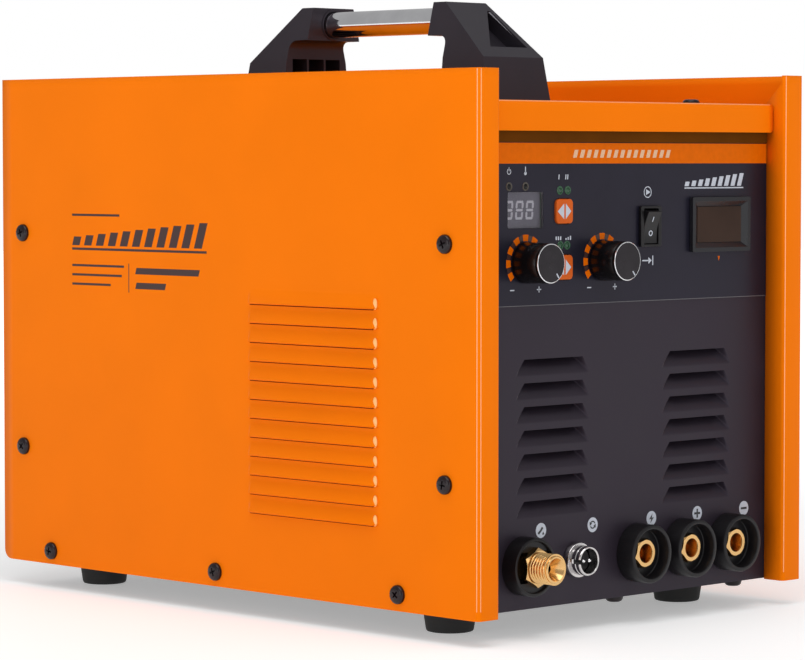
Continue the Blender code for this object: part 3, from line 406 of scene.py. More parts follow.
def winding_finish(centre):
    made = Finish("copper_winding", (0.42, 0.13, 0.045), 0.32, 1.0)
    made.vary(4 * mm, 0.2, 0.08)
    return made.rings(centre, 1.1 * mm, 0.3 * mm, "Z").mat


def glass(name, colour, roughness=0.04):
    made = Finish(name, colour, roughness, Transmission_Weight=1.0, IOR=1.46)
    return made.grain(14 * mm, 0.01 * mm, 0.0).mat


def materials():
    return {
        "orange": paint("orange_powder_coat", (0.90, 0.188, 0.002)),
        "orange_print": printed("orange_print", (0.70, 0.128, 0.001), 0.4, Specular_IOR_Level=0.08, Specular_Tint=WARM),
        "maroon_print": printed("maroon_print", (0.035, 0.008, 0.006), 0.4),
        "white_print": printed("white_print", (0.50, 0.53, 0.60)),
        # Painted shade: dark brown for the shadowed gap under the top cover's lip, with orange light bounced from the
        # lip
        "lip_shade": textured("painted_lip_shade", (0.12, 0.036, 0.002), 0.9, 0.6 * mm, 0.05 * mm, Specular_IOR_Level=0.05),
        # Painted shade: dark maroon for the shadow under each side louvre's lip
        "louvre_shade": printed("painted_louvre_shade", (0.09, 0.004, 0.001), 0.6, Specular_IOR_Level=0.05),
        # Painted highlight: pale orange for the highlight lines along the bends of the covers
        "painted_bend_highlight": printed("painted_bend_highlight", (1.0, 0.40, 0.16), 0.3),
        "lamp_ring": printed("lamp_ring", (0.07, 0.058, 0.045), 0.3),
        "green_ring": printed("green_ring", (0.018, 0.085, 0.035), 0.3),
        # Painted highlight: pale grey for the light caught by the handle brackets' chamfered edges
        "edge_highlight": textured("painted_edge_highlight", (0.16, 0.155, 0.18), 0.5, 1.5 * mm, 0.02 * mm),
        # Painted highlight: pale orange for the highlight on each side louvre's front end cap
        "cap_highlight": printed("painted_cap_highlight", (1.0, 0.50, 0.17), 0.3),
        "grey_print": printed("grey_print", (0.11, 0.105, 0.115)),
        "pale_print": printed("pale_print", (0.72, 0.45, 0.27)),
        "brown_print": printed("brown_print", (0.045, 0.016, 0.012)),
        "dark_print": printed("dark_print", (0.012, 0.012, 0.015)),
        "dark": textured("dark_powder_coat", (0.016, 0.0115, 0.018), 0.5, 0.7 * mm, 0.035 * mm, Specular_IOR_Level=0.38, Specular_Tint=COOL),
        "film": textured("printed_overlay", (0.0095, 0.0092, 0.017), 0.34, 0.25 * mm, 0.004 * mm, Specular_IOR_Level=0.26, Specular_Tint=COOL),
        "black_steel": textured("black_steel", (0.012, 0.012, 0.013), 0.45, 0.6 * mm, 0.02 * mm),
        "black": textured("black_plastic", (0.007, 0.0062, 0.0075), 0.36, 0.4 * mm, 0.008 * mm, Specular_IOR_Level=0.3),
        "handle": textured("handle_plastic", (0.0145, 0.0125, 0.0165), 0.44, 0.55 * mm, 0.03 * mm, Specular_Tint=COOL),
        "gloss": textured("knob_plastic", (0.004, 0.0035, 0.004), 0.24, 0.8 * mm, 0.003 * mm, Specular_IOR_Level=0.25),
        "screw": textured("screw_black", (0.010, 0.004, 0.006), 0.2, 0.5 * mm, 0.01 * mm, Specular_IOR_Level=0.35),
        "cap": spun("brushed_cap", (0.042, 0.038, 0.042), 0.26),
        "rim": metal("bright_rim", (0.85, 0.85, 0.87), 0.15),
        "chrome_ring": metal("chrome_ring", (0.62, 0.60, 0.60), 0.16, (1, 1, 1), 1.2 * mm, 0.004 * mm),
        "display_face": textured("display_face", (0.20, 0.19, 0.23), 0.4, 0.5 * mm, 0.005 * mm),
        "meter_frame": textured("meter_frame", (0.010, 0.010, 0.013), 0.3, 0.5 * mm, 0.006 * mm, Specular_IOR_Level=0.32),
        "dull_lamp": printed("dull_lamp", (0.19, 0.175, 0.09), 0.25),
        "button": textured("orange_button", (0.58, 0.10, 0.014), 0.32, 0.4 * mm, 0.006 * mm, Specular_IOR_Level=0.2, Specular_Tint=WARM),
        "smoked": glass("smoked_window", (0.85, 0.84, 0.88)),
        "brass": metal("brass", (0.74, 0.46, 0.19), 0.2, (1, 1, 1), 1.0 * mm, 0.01 * mm),
        "chrome": metal("chrome", (0.72, 0.72, 0.74), 0.07, (1, 40, 1), 0.9 * mm, 0.002 * mm),
        "zinc": metal("zinc_steel", (0.50, 0.50, 0.50), 0.36, (1, 1, 8), 0.8 * mm, 0.01 * mm),
        "wire": textured("guard_wire", (0.010, 0.010, 0.011), 0.35, 0.6 * mm, 0.01 * mm),
        "rubber": textured("rubber", (0.011, 0.0105, 0.0105), 0.68, 0.5 * mm, 0.04 * mm),
        "board": board_finish(),
        "aluminium": metal("aluminium", (0.58, 0.58, 0.60), 0.4, (1, 12, 1), 0.8 * mm, 0.015 * mm),
        "ferrite": textured("ferrite", (0.035, 0.035, 0.04), 0.6, 0.8 * mm, 0.05 * mm),
        "copper": winding_finish(middle("output_choke")),
        "sleeve": textured("capacitor_sleeve", (0.012, 0.018, 0.06), 0.25, 1.5 * mm, 0.01 * mm),
        "hose": textured("air_hose", (0.012, 0.03, 0.12), 0.35, 0.9 * mm, 0.02 * mm),
        "digit": printed("display_segment", (0.80, 0.80, 0.83), 0.3),
        "lamp": printed("green_lamp", (0.012, 0.06, 0.025), 0.15),
        "screen": textured("meter_screen", (0.035, 0.016, 0.009), 0.2, 0.6 * mm, 0.002 * mm, Specular_IOR_Level=0.15),
    }


mats = materials()


# ---------------------------------------------------------------- case


def steps_between(points, most):
    """The sorted points, with more between any two that lie further apart than most."""
    points = sorted(set(round(p, 7) for p in points))
    filled = []
    for a, b in zip(points, points[1:]):
        count = max(1, math.ceil((b - a) / most))
        filled += [a + (b - a) * i / count for i in range(count)]
    return filled + [points[-1]]


def smooth_step(t):
    t = min(1.0, max(0.0, t))
    return t * t * (3 - 2 * t)


def louvre_press(u, v, above, lines, spans, rise, depth, taper, up):
    """How far a louvred sheet is pressed at (u, v). above says which side of a cut line is meant."""
    for first, last in spans:
        if not first < u < last:
            continue
        ends = smooth_step(min(u - first, last - u) / taper)
        for line in lines:
            away = (v - line) * up
            on_line = abs(away) < 1e-6
            if on_line and above == (up > 0):
                return depth * ends
            if not on_line and 0 < away < rise:
                return depth * ends * (1 - away / rise) ** 1.35
    return 0.0


def louvre_grid(lines, spans, rise, taper, up):
    """Grid lines in u and v that follow the louvres."""
    us, vs = [], []
    guard = 0.4 * mm
    for first, last in spans:
        us += [first - guard, last + guard]
        for share in (0, 0.18, 0.36, 0.54, 0.72, 0.86, 1):
            us += [first + taper * share, last - taper * share]
    for line in lines:
        vs += [line - up * guard, line + up * (rise + guard)]
        vs += [line + up * rise * share for share in (0, 0.12, 0.3, 0.5, 0.7, 0.85, 1)]
    return us, vs


def pressed_sheet(us, vs, place, press, keep=lambda u, v: True):
    """A sheet's skin over the grid us x vs. Its two sides part where press differs across a line."""
    bm = bmesh.new()
    made = {}

    def vert(u, v, above):
        depth = press(u, v, above)
        key = (u, v, round(depth, 8))
        if key not in made:
            made[key] = bm.verts.new(place(u, v, depth))
        return made[key]

    for u0, u1 in zip(us, us[1:]):
        for v0, v1 in zip(vs, vs[1:]):
            if keep((u0 + u1) / 2, (v0 + v1) / 2):
                bm.faces.new((vert(u0, v0, True), vert(u1, v0, True), vert(u1, v1, False), vert(u0, v1, False)))
    return bm


def solid_sheet(name, bm, thickness, outward, mat, nodes, cutter=None):
    """A skin given its thickness. outward is where the skin's first face should look."""
    bm.faces.ensure_lookup_table()
    bm.normal_update()
    if bm.faces[0].normal.dot(Vector(outward)) < 0:
        bmesh.ops.reverse_faces(bm, faces=bm.faces)
    mesh = bpy.data.meshes.new(name)
    bm.to_mesh(mesh)
    bm.free()
    obj = bpy.data.objects.new(name, mesh)
    bpy.context.scene.collection.objects.link(obj)
    obj.data.materials.append(mat)
    solidify = obj.modifiers.new("Solidify", "SOLIDIFY")
    solidify.thickness = thickness
    solidify.offset = -1.0
    if cutter is not None:
        helper = loose(name + "_cutter", cutter)
        modifier = obj.modifiers.new("Boolean", "BOOLEAN")
        modifier.solver = "EXACT"
        modifier.object = helper
        result = bmesh.new()
        result.from_object(obj, bpy.context.evaluated_depsgraph_get())
        obj.modifiers.clear()
        result.to_mesh(mesh)
        result.free()
        bpy.data.objects.remove(helper)
    mesh.shade_smooth()
    mesh.set_sharp_from_angle(angle=math.radians(38))
    return settle(obj, nodes=nodes)


def path_place(path):
    """The path's length at each of its points, and a function from a length to the point there."""
    lengths = [0.0]
    for a, b in zip(path, path[1:]):
        lengths.append(lengths[-1] + (Vector(b) - Vector(a)).length)

    def find(s):
        for i in range(len(path) - 1):
            if s <= lengths[i + 1] + 1e-9:
                share = (s - lengths[i]) / (lengths[i + 1] - lengths[i])
                return Vector(path[i]).lerp(Vector(path[i + 1]), share)
        return Vector(path[-1])

    return lengths, find


def side_cover(side, name):
    """The bent side sheet: a return, a flange, two round bends and the louvred side."""
    back = PANEL - 0.3 * mm
    chamfer_from = TOP + 0.5 * mm
    corner = 6 * mm
    path = [(FLANGE_EDGE, back)]
    path += arc((FLANGE_EDGE + BEND, FRONT + BEND), BEND, 180, 270)
    path += arc((HALF_WIDTH - BEND, FRONT + BEND), BEND, 270, 360)
    path += [(HALF_WIDTH, REAR)]
    lengths, find = path_place(path)
    side_start = lengths[-2] - (FRONT + BEND)
    us, vs = louvre_grid(SIDE_LINES, [SIDE_SPAN], SIDE_RISE, SIDE_TAPER, 1)
    us = steps_between([side_start + u for u in us] + lengths + [lengths[-1] - corner - 3 * mm], 40 * mm)
    corner_rows = [COVER_BOTTOM + corner * (1 - math.cos(math.radians(15 * i))) for i in range(7)]
    chamfer_rows = [chamfer_from, chamfer_from + (back - FRONT - BEND - 0.2 * mm)]
    vs = steps_between(vs + corner_rows + chamfer_rows + [COVER_TOP], 40 * mm)

    def place(s, z, depth):
        point = find(s)
        x, y = point
        if s <= lengths[1]:
            end = max(path[1][1] + 0.2 * mm, back - max(0.0, z - chamfer_from))
            y = path[1][1] + (y - path[1][1]) * (end - path[1][1]) / (back - path[1][1])
        if s > lengths[-1] - 1e-9 and z < COVER_BOTTOM + corner:
            y = REAR - corner + math.sqrt(max(0.0, corner**2 - (COVER_BOTTOM + corner - z) ** 2))
        if s > lengths[-2]:
            x += depth
        return side * x, y, z

    def press(s, z, above):
        return louvre_press(s - side_start, z, above, SIDE_LINES, [SIDE_SPAN], SIDE_RISE, LOUVRE_OUT, SIDE_TAPER, 1)

    bm = pressed_sheet(us, vs, place, press)
    solid_sheet(name, bm, SHEET, (-side, 0, 0), mats["orange"], (name,))


def top_cover():
    """The top sheet, bent down into a lip with round lower corners."""
    narrow = FLANGE_EDGE - 0.4 * mm
    corner = 2.5 * mm
    rear = high("top_cover").y
    path = [(rear, TOP), (PANEL, TOP)] + arc((LIP + BEND, TOP - BEND), BEND, 90, 180) + [(LIP, LIP_BOTTOM)]
    lengths, find = path_place(path)
    corner_rows = [lengths[-1] - corner * (1 - math.cos(math.radians(15 * i))) for i in range(7)]
    us = steps_between(lengths + corner_rows, 40 * mm)
    vs = steps_between([-PANEL_HALF, -narrow, -narrow + 4 * mm, narrow - 4 * mm, narrow, PANEL_HALF], 40 * mm)

    def place(s, x, depth):
        y, z = find(s)
        below = s - (lengths[-1] - corner)
        if below > 0 and abs(abs(x) - narrow) < 1e-6:
            x = math.copysign(narrow - corner + math.sqrt(max(0.0, corner**2 - below**2)), x)
        return x, y, z

    bm = pressed_sheet(us, vs, place, lambda s, x, above: 0.0, lambda s, x: abs(x) < narrow or s < lengths[1])
    solid_sheet("top_cover", bm, SHEET, (0, 0, 1), mats["orange"], ("top_cover",))


def panel_cutters():
    """Cutters for the openings behind the controls and outlets."""
    bm = bmesh.new()
    span = (PANEL - 2 * mm, PANEL + 3 * mm)
    for node, gap, radius in (("display_window", 0.25, 1.0), ("mode_button", -1.1, 3.0), ("process_button", -1.1, 3.0)):
        size, at = high(node) - low(node), middle(node)
        prism(rounded(size.x + 2 * gap * mm, size.z + 2 * gap * mm, radius * mm, (at.x, at.z)), span, "Y", bm)
    for node, half in (("select_switch_body", (7.0, 10.4)), ("meter_case", (23.0, 13.5))):
        at = middle(node)
        block((at.x - half[0] * mm, at.x + half[0] * mm), span, (at.z - half[1] * mm, at.z + half[1] * mm), bm)
    radii = {"current_knob": 3.9, "delay_knob": 3.9, "torch_shroud": 12.4, "connector_insert": 7.9}
    radii.update({"pilot_socket": 12.4, "positive_socket": 12.4, "negative_socket": 12.4})
    for node, radius in radii.items():
        profile = [(0, span[0]), (radius * mm, span[0]), (radius * mm, span[1]), (0, span[1])]
        turn(profile, (middle(node).x, 0, middle(node).z), "Y", 32, bm)
    return bm


def louvre_skew(u, z):
    """How far the front panel's grid moves sideways, so that each louvre narrows towards its cut line."""
    away = min((line - z for line in FRONT_LINES if line - z > -1e-6), default=FRONT_RISE)
    narrow = max(0.0, 1 - max(0.0, away) / FRONT_RISE)
    for first, last in FRONT_SPANS:
        for end, inward, reach in ((first, 1, FRONT_SKEW[0]), (last, -1, -FRONT_SKEW[1])):
            inside = (u - end) * inward
            if -7 * mm < inside <= 0:
                return reach * narrow * (1 + inside / (7 * mm))
            if 0 < inside < 20 * mm:
                return reach * narrow * min(1.0, (20 * mm - inside) / (17 * mm))
    return 0.0


def front_panel():
    """The dark front sheet with its side flanges and its louvres, pressed inwards."""
    back = high("front_panel").y
    bend = 1.8 * mm
    path = [(-PANEL_HALF, back)] + arc((-PANEL_HALF + bend, PANEL + bend), bend, 180, 270)
    path += arc((PANEL_HALF - bend, PANEL + bend), bend, 270, 360) + [(PANEL_HALF, back)]
    lengths, find = path_place(path)
    total = lengths[-1]
    us, vs = louvre_grid(FRONT_LINES, FRONT_SPANS, FRONT_RISE, FRONT_TAPER, -1)
    us += [first - 7 * mm for first, last in FRONT_SPANS] + [last + 7 * mm for first, last in FRONT_SPANS]
    us = steps_between([total / 2 + u for u in us] + lengths, 12 * mm)
    vs = steps_between(vs + [PANEL_BOTTOM, PANEL_TOP], 30 * mm)

    def place(s, z, depth):
        x, y = find(s)
        return x + louvre_skew(s - total / 2, z), y + depth, z

    def press(s, z, above):
        u = s - total / 2
        return louvre_press(u, z, above, FRONT_LINES, FRONT_SPANS, FRONT_RISE, FRONT_DEPTH, FRONT_TAPER, -1)

    bm = pressed_sheet(us, vs, place, press)
    solid_sheet("front_panel", bm, 1.5 * mm, (-1, 0, 0), mats["dark"], ("front_panel",), panel_cutters())


def lip_shade_strip():
    """Painted shade: a dark brown strip on the panel, behind the top cover's lip, standing for the shadowed gap under
    the lip and the orange light bounced into it.
    """
    strip = block((-PANEL_HALF + 4 * mm, PANEL_HALF - 4 * mm), (PANEL - 0.9 * mm, PANEL - 0.02 * mm), (OVERLAY_TOP + 0.4 * mm, TOP - 6 * mm))
    piece("painted_lip_shade_strip", strip, mats["lip_shade"], edge=0.3 * mm)


def bend_highlights():
    """Thin bright lines painted along the bends as highlights."""
    bm = bmesh.new()
    outer = (HALF_WIDTH - BEND, FRONT + BEND)
    inner = (FLANGE_EDGE + BEND, FRONT + BEND)
    for centre, side, start in ((outer, -1, 284), (outer, -1, 332), (inner, 1, 232)):
        rim = arc(centre, BEND + 0.05 * mm, start, start + 11, 2) + arc(centre, BEND - 0.2 * mm, start + 11, start, 2)
        prism([(side * x, y) for x, y in rim], (COVER_BOTTOM + 5 * mm, COVER_TOP - 0.5 * mm), "Z", bm)
    bend = (LIP + BEND, TOP - BEND)
    edge = arc(bend, BEND + 0.05 * mm, 118, 130, 2) + arc(bend, BEND - 0.2 * mm, 130, 118, 2)
    prism(edge, (-FLANGE_EDGE + 2 * mm, FLANGE_EDGE - 2 * mm), "X", bm)
    piece("bend_highlights", bm, mats["painted_bend_highlight"], sharp=60)


def louvre_shade_and_highlights():
    """Painted shade strips under the side louvres' lips, and painted highlights on the louvres' front end caps."""
    for side, word in ((-1, "left"), (1, "right")):
        # Painted shade: a thin dark strip on the sheet just below each louvre's lip
        bm = bmesh.new()
        for line in SIDE_LINES:
            y = (SIDE_SPAN[0] + 4.5 * mm, SIDE_SPAN[1] - 1.6 * mm)
            block(sorted((side * (HALF_WIDTH - 0.1 * mm), side * (HALF_WIDTH + 0.06 * mm))), y, (line - 1.1 * mm, line - 0.02 * mm), bm)
        piece(f"louvre_shade_strips_{word}", bm, mats["louvre_shade"], sharp=20)
        # Painted highlights: small pale orange domes on the front end cap of each louvre
        cap_highlights = bmesh.new()
        for line in SIDE_LINES:
            centre = (side * (HALF_WIDTH + 0.9 * mm), SIDE_SPAN[0] + 2.3 * mm, line + 2.4 * mm)
            made = bmesh.ops.create_uvsphere(cap_highlights, u_segments=16, v_segments=10, radius=1.0)
            bmesh.ops.scale(cap_highlights, verts=made["verts"], vec=(0.75 * mm, 1.5 * mm, 3.0 * mm))
            bmesh.ops.translate(cap_highlights, verts=made["verts"], vec=centre)
        piece(f"louvre_cap_highlights_{word}", cap_highlights, mats["cap_highlight"])


def case():
    side_cover(-1, "side_cover_left")
    side_cover(1, "side_cover_right")
    top_cover()
    front_panel()
    lip_shade_strip()
    bend_highlights()
    louvre_shade_and_highlights()
    carried("base_tray", mats["black_steel"], 0.3 * mm)
    carried("rear_panel", mats["dark"])
    carried("front_overlay", mats["film"])


# ---------------------------------------------------------------- screws


def pan_head(radius, height):
    """A pan head with a cross recess, looking along +Z from its seat at 0."""
    profile = [(0, 0), (radius, 0)]
    profile += [(radius * r, height * h) for r, h in ((1.0, 0.3), (0.97, 0.55), (0.9, 0.76), (0.78, 0.9), (0.6, 0.98))]
    profile += [(0, height)]
    bm = turn(profile, (0, 0, 0), "Z", 28)
    cross = bmesh.new()
    for turned in (0, math.pi / 2):
        arm = bmesh.new()
        long_half, short_half = radius * 0.5, radius * 0.085
        tops = [(long_half, short_half * 1.3), (-long_half, short_half * 1.3)]
        tops += [(-long_half, -short_half * 1.3), (long_half, -short_half * 1.3)]
        deep = height * 0.35
        upper = [arm.verts.new((x, y, height * 1.1)) for x, y in tops]
        lower = [arm.verts.new((x * 0.45, y * 0.7, deep)) for x, y in tops]
        arm.faces.new(upper)
        arm.faces.new(reversed(lower))
        for i in range(4):
            j = (i + 1) % 4
            arm.faces.new((upper[j], upper[i], lower[i], lower[j]))
        bmesh.ops.rotate(arm, verts=arm.verts, cent=(0, 0, 0), matrix=Matrix.Rotation(turned, 3, "Z"))
        if turned:
            cross = boolean(cross, arm, "UNION")
        else:
            cross.free()
            cross = arm
    return boolean(bm, cross)


def screws(prefix, places, outward, radius, height, mat):
    """One screw object for each place, all with the same mesh, each turned a little further than the last."""
    mesh = None
    facing = Vector(outward).to_track_quat("Z", "Y").to_matrix().to_4x4()
    for i, place in enumerate(places):
        if mesh is None:
            obj = loose(f"{prefix}_{i + 1}", pan_head(radius, height))
            mesh = obj.data
            mesh.materials.append(mat)
            mesh.shade_smooth()
            mesh.set_sharp_from_angle(angle=math.radians(40))
        else:
            obj = bpy.data.objects.new(f"{prefix}_{i + 1}", mesh)
            bpy.context.scene.collection.objects.link(obj)
        spin = Matrix.Rotation(math.radians(17 + 31 * i), 4, "Z")
        obj.matrix_world = Matrix.Translation(place) @ facing @ spin
        settle(obj)


def all_screws():
    rows = [(179, 208.6), (179, 82.3), (153.5, 21.9), (7, 22.3), (-139, 22.9), (-174, 83.3), (-174, 208.2)]
    for side, word in ((-1, "left"), (1, "right")):
        places = [(side * (HALF_WIDTH + 0.05 * mm), y * mm, z * mm) for y, z in rows]
        screws(f"side_screw_{word}", places, (side, 0, 0), 5.1 * mm, 2.6 * mm, mats["screw"])
    tops = [(x * mm, y * mm, TOP + 0.05 * mm) for x in (-90, 90) for y in (-150, 150)]
    screws("top_screw", tops, (0, 0, 1), 4.9 * mm, 2.9 * mm, mats["screw"])
    under = [(x * mm, -174 * mm, TRAY_BOTTOM - 0.05 * mm) for x in (0, 100)]
    screws("tray_screw", under, (0, 0, -1), 5.2 * mm, TRAY_BOTTOM - 10.6 * mm, mats["screw"])


# ---------------------------------------------------------------- printed graphics

BAND = (249.8 * mm, OVERLAY_TOP)
OVERLAY_HALF = high("front_overlay").x
TICK_RADII = (11.4 * mm, 14.8 * mm)
TICK_FIRST, TICK_STEP, TICKS = 212.0, 30.4, 9
INDICATORS = ((-94.8, 237.8), (-82.4, 237.8))
LAMPS = ((-56.0, 235.6), (-49.9, 235.6), (-55.5, 206.5), (-50.3, 206.5))
SYMBOL_Z = 55.7 * mm
SYMBOL_R = 4.0 * mm


def at_mm(outline, centre=(0, 0), scale=1.0, mirror=1):
    """An outline given in millimetres about a centre, also in millimetres, in metres."""
    return [((centre[0] + mirror * x * scale) * mm, (centre[1] + z * scale) * mm) for x, z in outline]


def slanted_bars(first, low_z, heights, width, gap, slant=0.35):
    """Slanted bars that stand on one line. All in millimetres."""
    bars = []
    for i, height in enumerate(heights):
        x = first + i * (width + gap)
        bars.append([(x, low_z), (x + width, low_z), (x + width + slant * height, low_z + height), (x + slant * height, low_z + height)])
    return bars


def ramp_mark(first, low_z, width, height, count=9):
    """A ramp of slanted bars over a base line, in millimetres."""
    pitch = width / count
    heights = [height * (0.35 + 0.65 * i / (count - 1)) for i in range(count)]
    bars = slanted_bars(first, low_z + height * 0.16, [h * 0.84 for h in heights], pitch * 0.62, pitch * 0.38)
    bars.append([(first, low_z), (first + width, low_z), (first + width, low_z + height * 0.08), (first, low_z + height * 0.08)])
    return bars


def ring_outlines(centre, radius, width, start=0.0, end=360.0, parts=6):
    """A ring as a few pieces that meet, so that each is a simple outline."""
    step = (end - start) / parts
    return [
        sector(radius - width / 2, radius + width / 2, start + i * step, start + (i + 1) * step, centre, 6)
        for i in range(parts)
    ]


def front_graphics():
    half = OVERLAY_HALF
    ink("band_print", [[(-half, BAND[0]), (half, BAND[0]), (half, BAND[1]), (-half, BAND[1])]], mats["orange_print"])
    hem = 0.35 * mm
    line = [(-half, OVERLAY_LOW), (half, OVERLAY_LOW), (half, OVERLAY_LOW + hem), (-half, OVERLAY_LOW + hem)]
    ink("overlay_hem", [line], mats["grey_print"])
    dashes = slanted_bars(-46, 252.9, [4.2] * 15, 2.9, 2.4)
    ink("band_marks", [at_mm(bar) for bar in dashes], mats["pale_print"], OVERLAY - INK)
    mark = ramp_mark(44.2, 235.9, 50.0, 8.4)
    ink("maker_mark", [at_mm(bar) for bar in mark], mats["white_print"])
    for name in ("current_knob", "delay_knob"):
        knob_at = middle(name)
        centre = (knob_at.x, knob_at.z)
        bright, dull = [], []
        for i in range(TICKS):
            at = TICK_FIRST - i * TICK_STEP
            bright.append(sector(*TICK_RADII, at - 8.5, at + 8.5, centre, 4))
            if i < TICKS - 1:
                between = at - TICK_STEP / 2
                dull.append(sector(TICK_RADII[0] + 0.3 * mm, TICK_RADII[1] - 0.3 * mm, between - 6, between + 6, centre, 4))
        ink(name + "_ticks", bright, mats["orange_print"])
        ink(name + "_gaps", dull, mats["brown_print"])
        ends = [at_mm([(-11.8, -14.6), (-8.6, -14.6), (-8.6, -14.0), (-11.8, -14.0)], (centre[0] / mm, centre[1] / mm))]
        plus = [(8.6, -14.6), (11.8, -14.6), (11.8, -14.0), (8.6, -14.0)]
        upright = [(9.9, -15.9), (10.5, -15.9), (10.5, -12.7), (9.9, -12.7)]
        ends += [at_mm(shape, (centre[0] / mm, centre[1] / mm)) for shape in (plus, upright)]
        ink(name + "_end_marks", ends, mats["white_print"], OVERLAY - 0.002 * mm)
    icons = ring_outlines((-94.8 * mm, 245.6 * mm), 1.35 * mm, 0.4 * mm, 120, 420)
    icons.append([(x * mm, z * mm) for x, z in ((-95.0, 245.8), (-94.6, 245.8), (-94.6, 247.9), (-95.0, 247.9))])
    icons.append(disc(0.95 * mm, (-82.4 * mm, 244.7 * mm), 16))
    icons.append([(x * mm, z * mm) for x, z in ((-82.75, 244.9), (-82.05, 244.9), (-82.05, 248.2), (-82.75, 248.2))])
    icons += [at_mm(bar) for bar in slanted_bars(-57.2, 241.4, [2.6], 0.7, 0.9, 0.1)]
    icons += [at_mm(bar) for bar in slanted_bars(-51.9, 241.4, [2.6, 2.6], 0.7, 0.8, 0.1)]
    icons += [at_mm(bar) for bar in slanted_bars(-59.2, 209.3, [1.9] * 3, 0.9, 0.8, 0.0)]
    icons += [at_mm(bar) for bar in slanted_bars(-51.6, 209.3, [1.0, 1.5, 2.1], 0.9, 0.8, 0.0)]
    icons += ring_outlines((13.8 * mm, 234.2 * mm), 2.9 * mm, 0.5 * mm)
    icons.append([(x * mm, z * mm) for x, z in ((12.5, 232.6), (16.0, 234.2), (12.5, 235.8))])
    icons += [at_mm(shape, (13.8, 197.0)) for shape in (
        [(-4.2, -0.35), (1.0, -0.35), (1.0, 0.35), (-4.2, 0.35)],
        [(0.8, -1.8), (3.4, 0.0), (0.8, 1.8)],
        [(4.0, -2.6), (4.7, -2.6), (4.7, 2.6), (4.0, 2.6)],
    )]
    ink("front_icons", icons, mats["white_print"])
    pointer = [(x * mm, z * mm) for x, z in ((72.6, 198.3), (74.2, 198.3), (73.4, 195.6))]
    ink("meter_pointer_mark", [pointer], mats["orange_print"])


def symbol_discs():
    """White discs over the outlets, each with its own dark sign."""
    places = {"torch": -69.3, "cycle": -28.9, "flash": 18.6, "plus": 56.8, "minus": 96.8}
    signs = {
        "torch": [[(-2.6, -1.2), (-0.4, 0.5), (0.6, 2.0), (1.7, 1.2), (0.6, -0.2), (-1.6, -2.2)], [(0.9, -2.3), (2.6, -2.3), (1.6, -0.6)]],
        "flash": [[(0.9, 2.7), (-1.9, -0.5), (-0.2, -0.3), (-0.9, -2.7), (1.9, 0.5), (0.2, 0.3)]],
        "plus": [[(-2.5, -0.6), (2.5, -0.6), (2.5, 0.6), (-2.5, 0.6)], [(-0.6, 0.62), (0.6, 0.62), (0.6, 2.5), (-0.6, 2.5)],
                 [(-0.6, -2.5), (0.6, -2.5), (0.6, -0.62), (-0.6, -0.62)]],
        "minus": [[(-2.5, -0.6), (2.5, -0.6), (2.5, 0.6), (-2.5, 0.6)]],
    }
    centres = {name: (x, SYMBOL_Z / mm) for name, x in places.items()}
    ink("symbol_discs", [disc(SYMBOL_R, (x * mm, z * mm)) for x, z in centres.values()], mats["white_print"], PANEL)
    dark = [at_mm(shape, centres[name]) for name, shapes in signs.items() for shape in shapes]
    for start in (20, 200):
        centre = tuple(c * mm for c in centres["cycle"])
        dark.append(sector(1.5 * mm, 2.2 * mm, start, start + 120, centre, 8))
        tip = math.radians(start + 132)
        out, tangent = Vector((math.cos(tip), math.sin(tip))), Vector((-math.sin(tip), math.cos(tip)))
        base = Vector(centre) + out * 1.85 * mm
        dark.append([tuple(base + out * 1.1 * mm - tangent * 0.4 * mm), tuple(base + tangent * 1.5 * mm), tuple(base - out * 1.1 * mm - tangent * 0.4 * mm)])
    ink("symbol_signs", dark, mats["dark_print"], PANEL - INK)


def side_graphics():
    """A maker's block without lettering on the left cover: a ramp of bars, rules and short lines."""
    face = -HALF_WIDTH
    bm = bmesh.new()

    def flat(outline):
        prism([(-y * mm, z * mm) for y, z in outline], (face - INK, face - 0.01 * mm), "X", bm)

    for bar in ramp_mark(-133.0, 199.5, 119.0, 17.0, 11):
        flat(bar)
    for y0, y1, z in ((-133, -90, 219.2), (-133, -86, 190.0), (-133, -88, 184.6), (-133, -98, 179.2)):
        flat([(y0, z), (y1, z), (y1, z + 1.3), (y0, z + 1.3)])
    flat([(-82.0, 176.0), (-81.4, 176.0), (-81.4, 192.5), (-82.0, 192.5)])
    for y0, y1, z in ((-76, -21, 186.6), (-76, -50, 178.2)):
        flat([(y0, z), (y1, z), (y1 + 1.2, z + 3.6), (y0 + 1.2, z + 3.6)])
    piece("side_mark", bm, mats["maroon_print"], sharp=20)


# ---------------------------------------------------------------- front controls


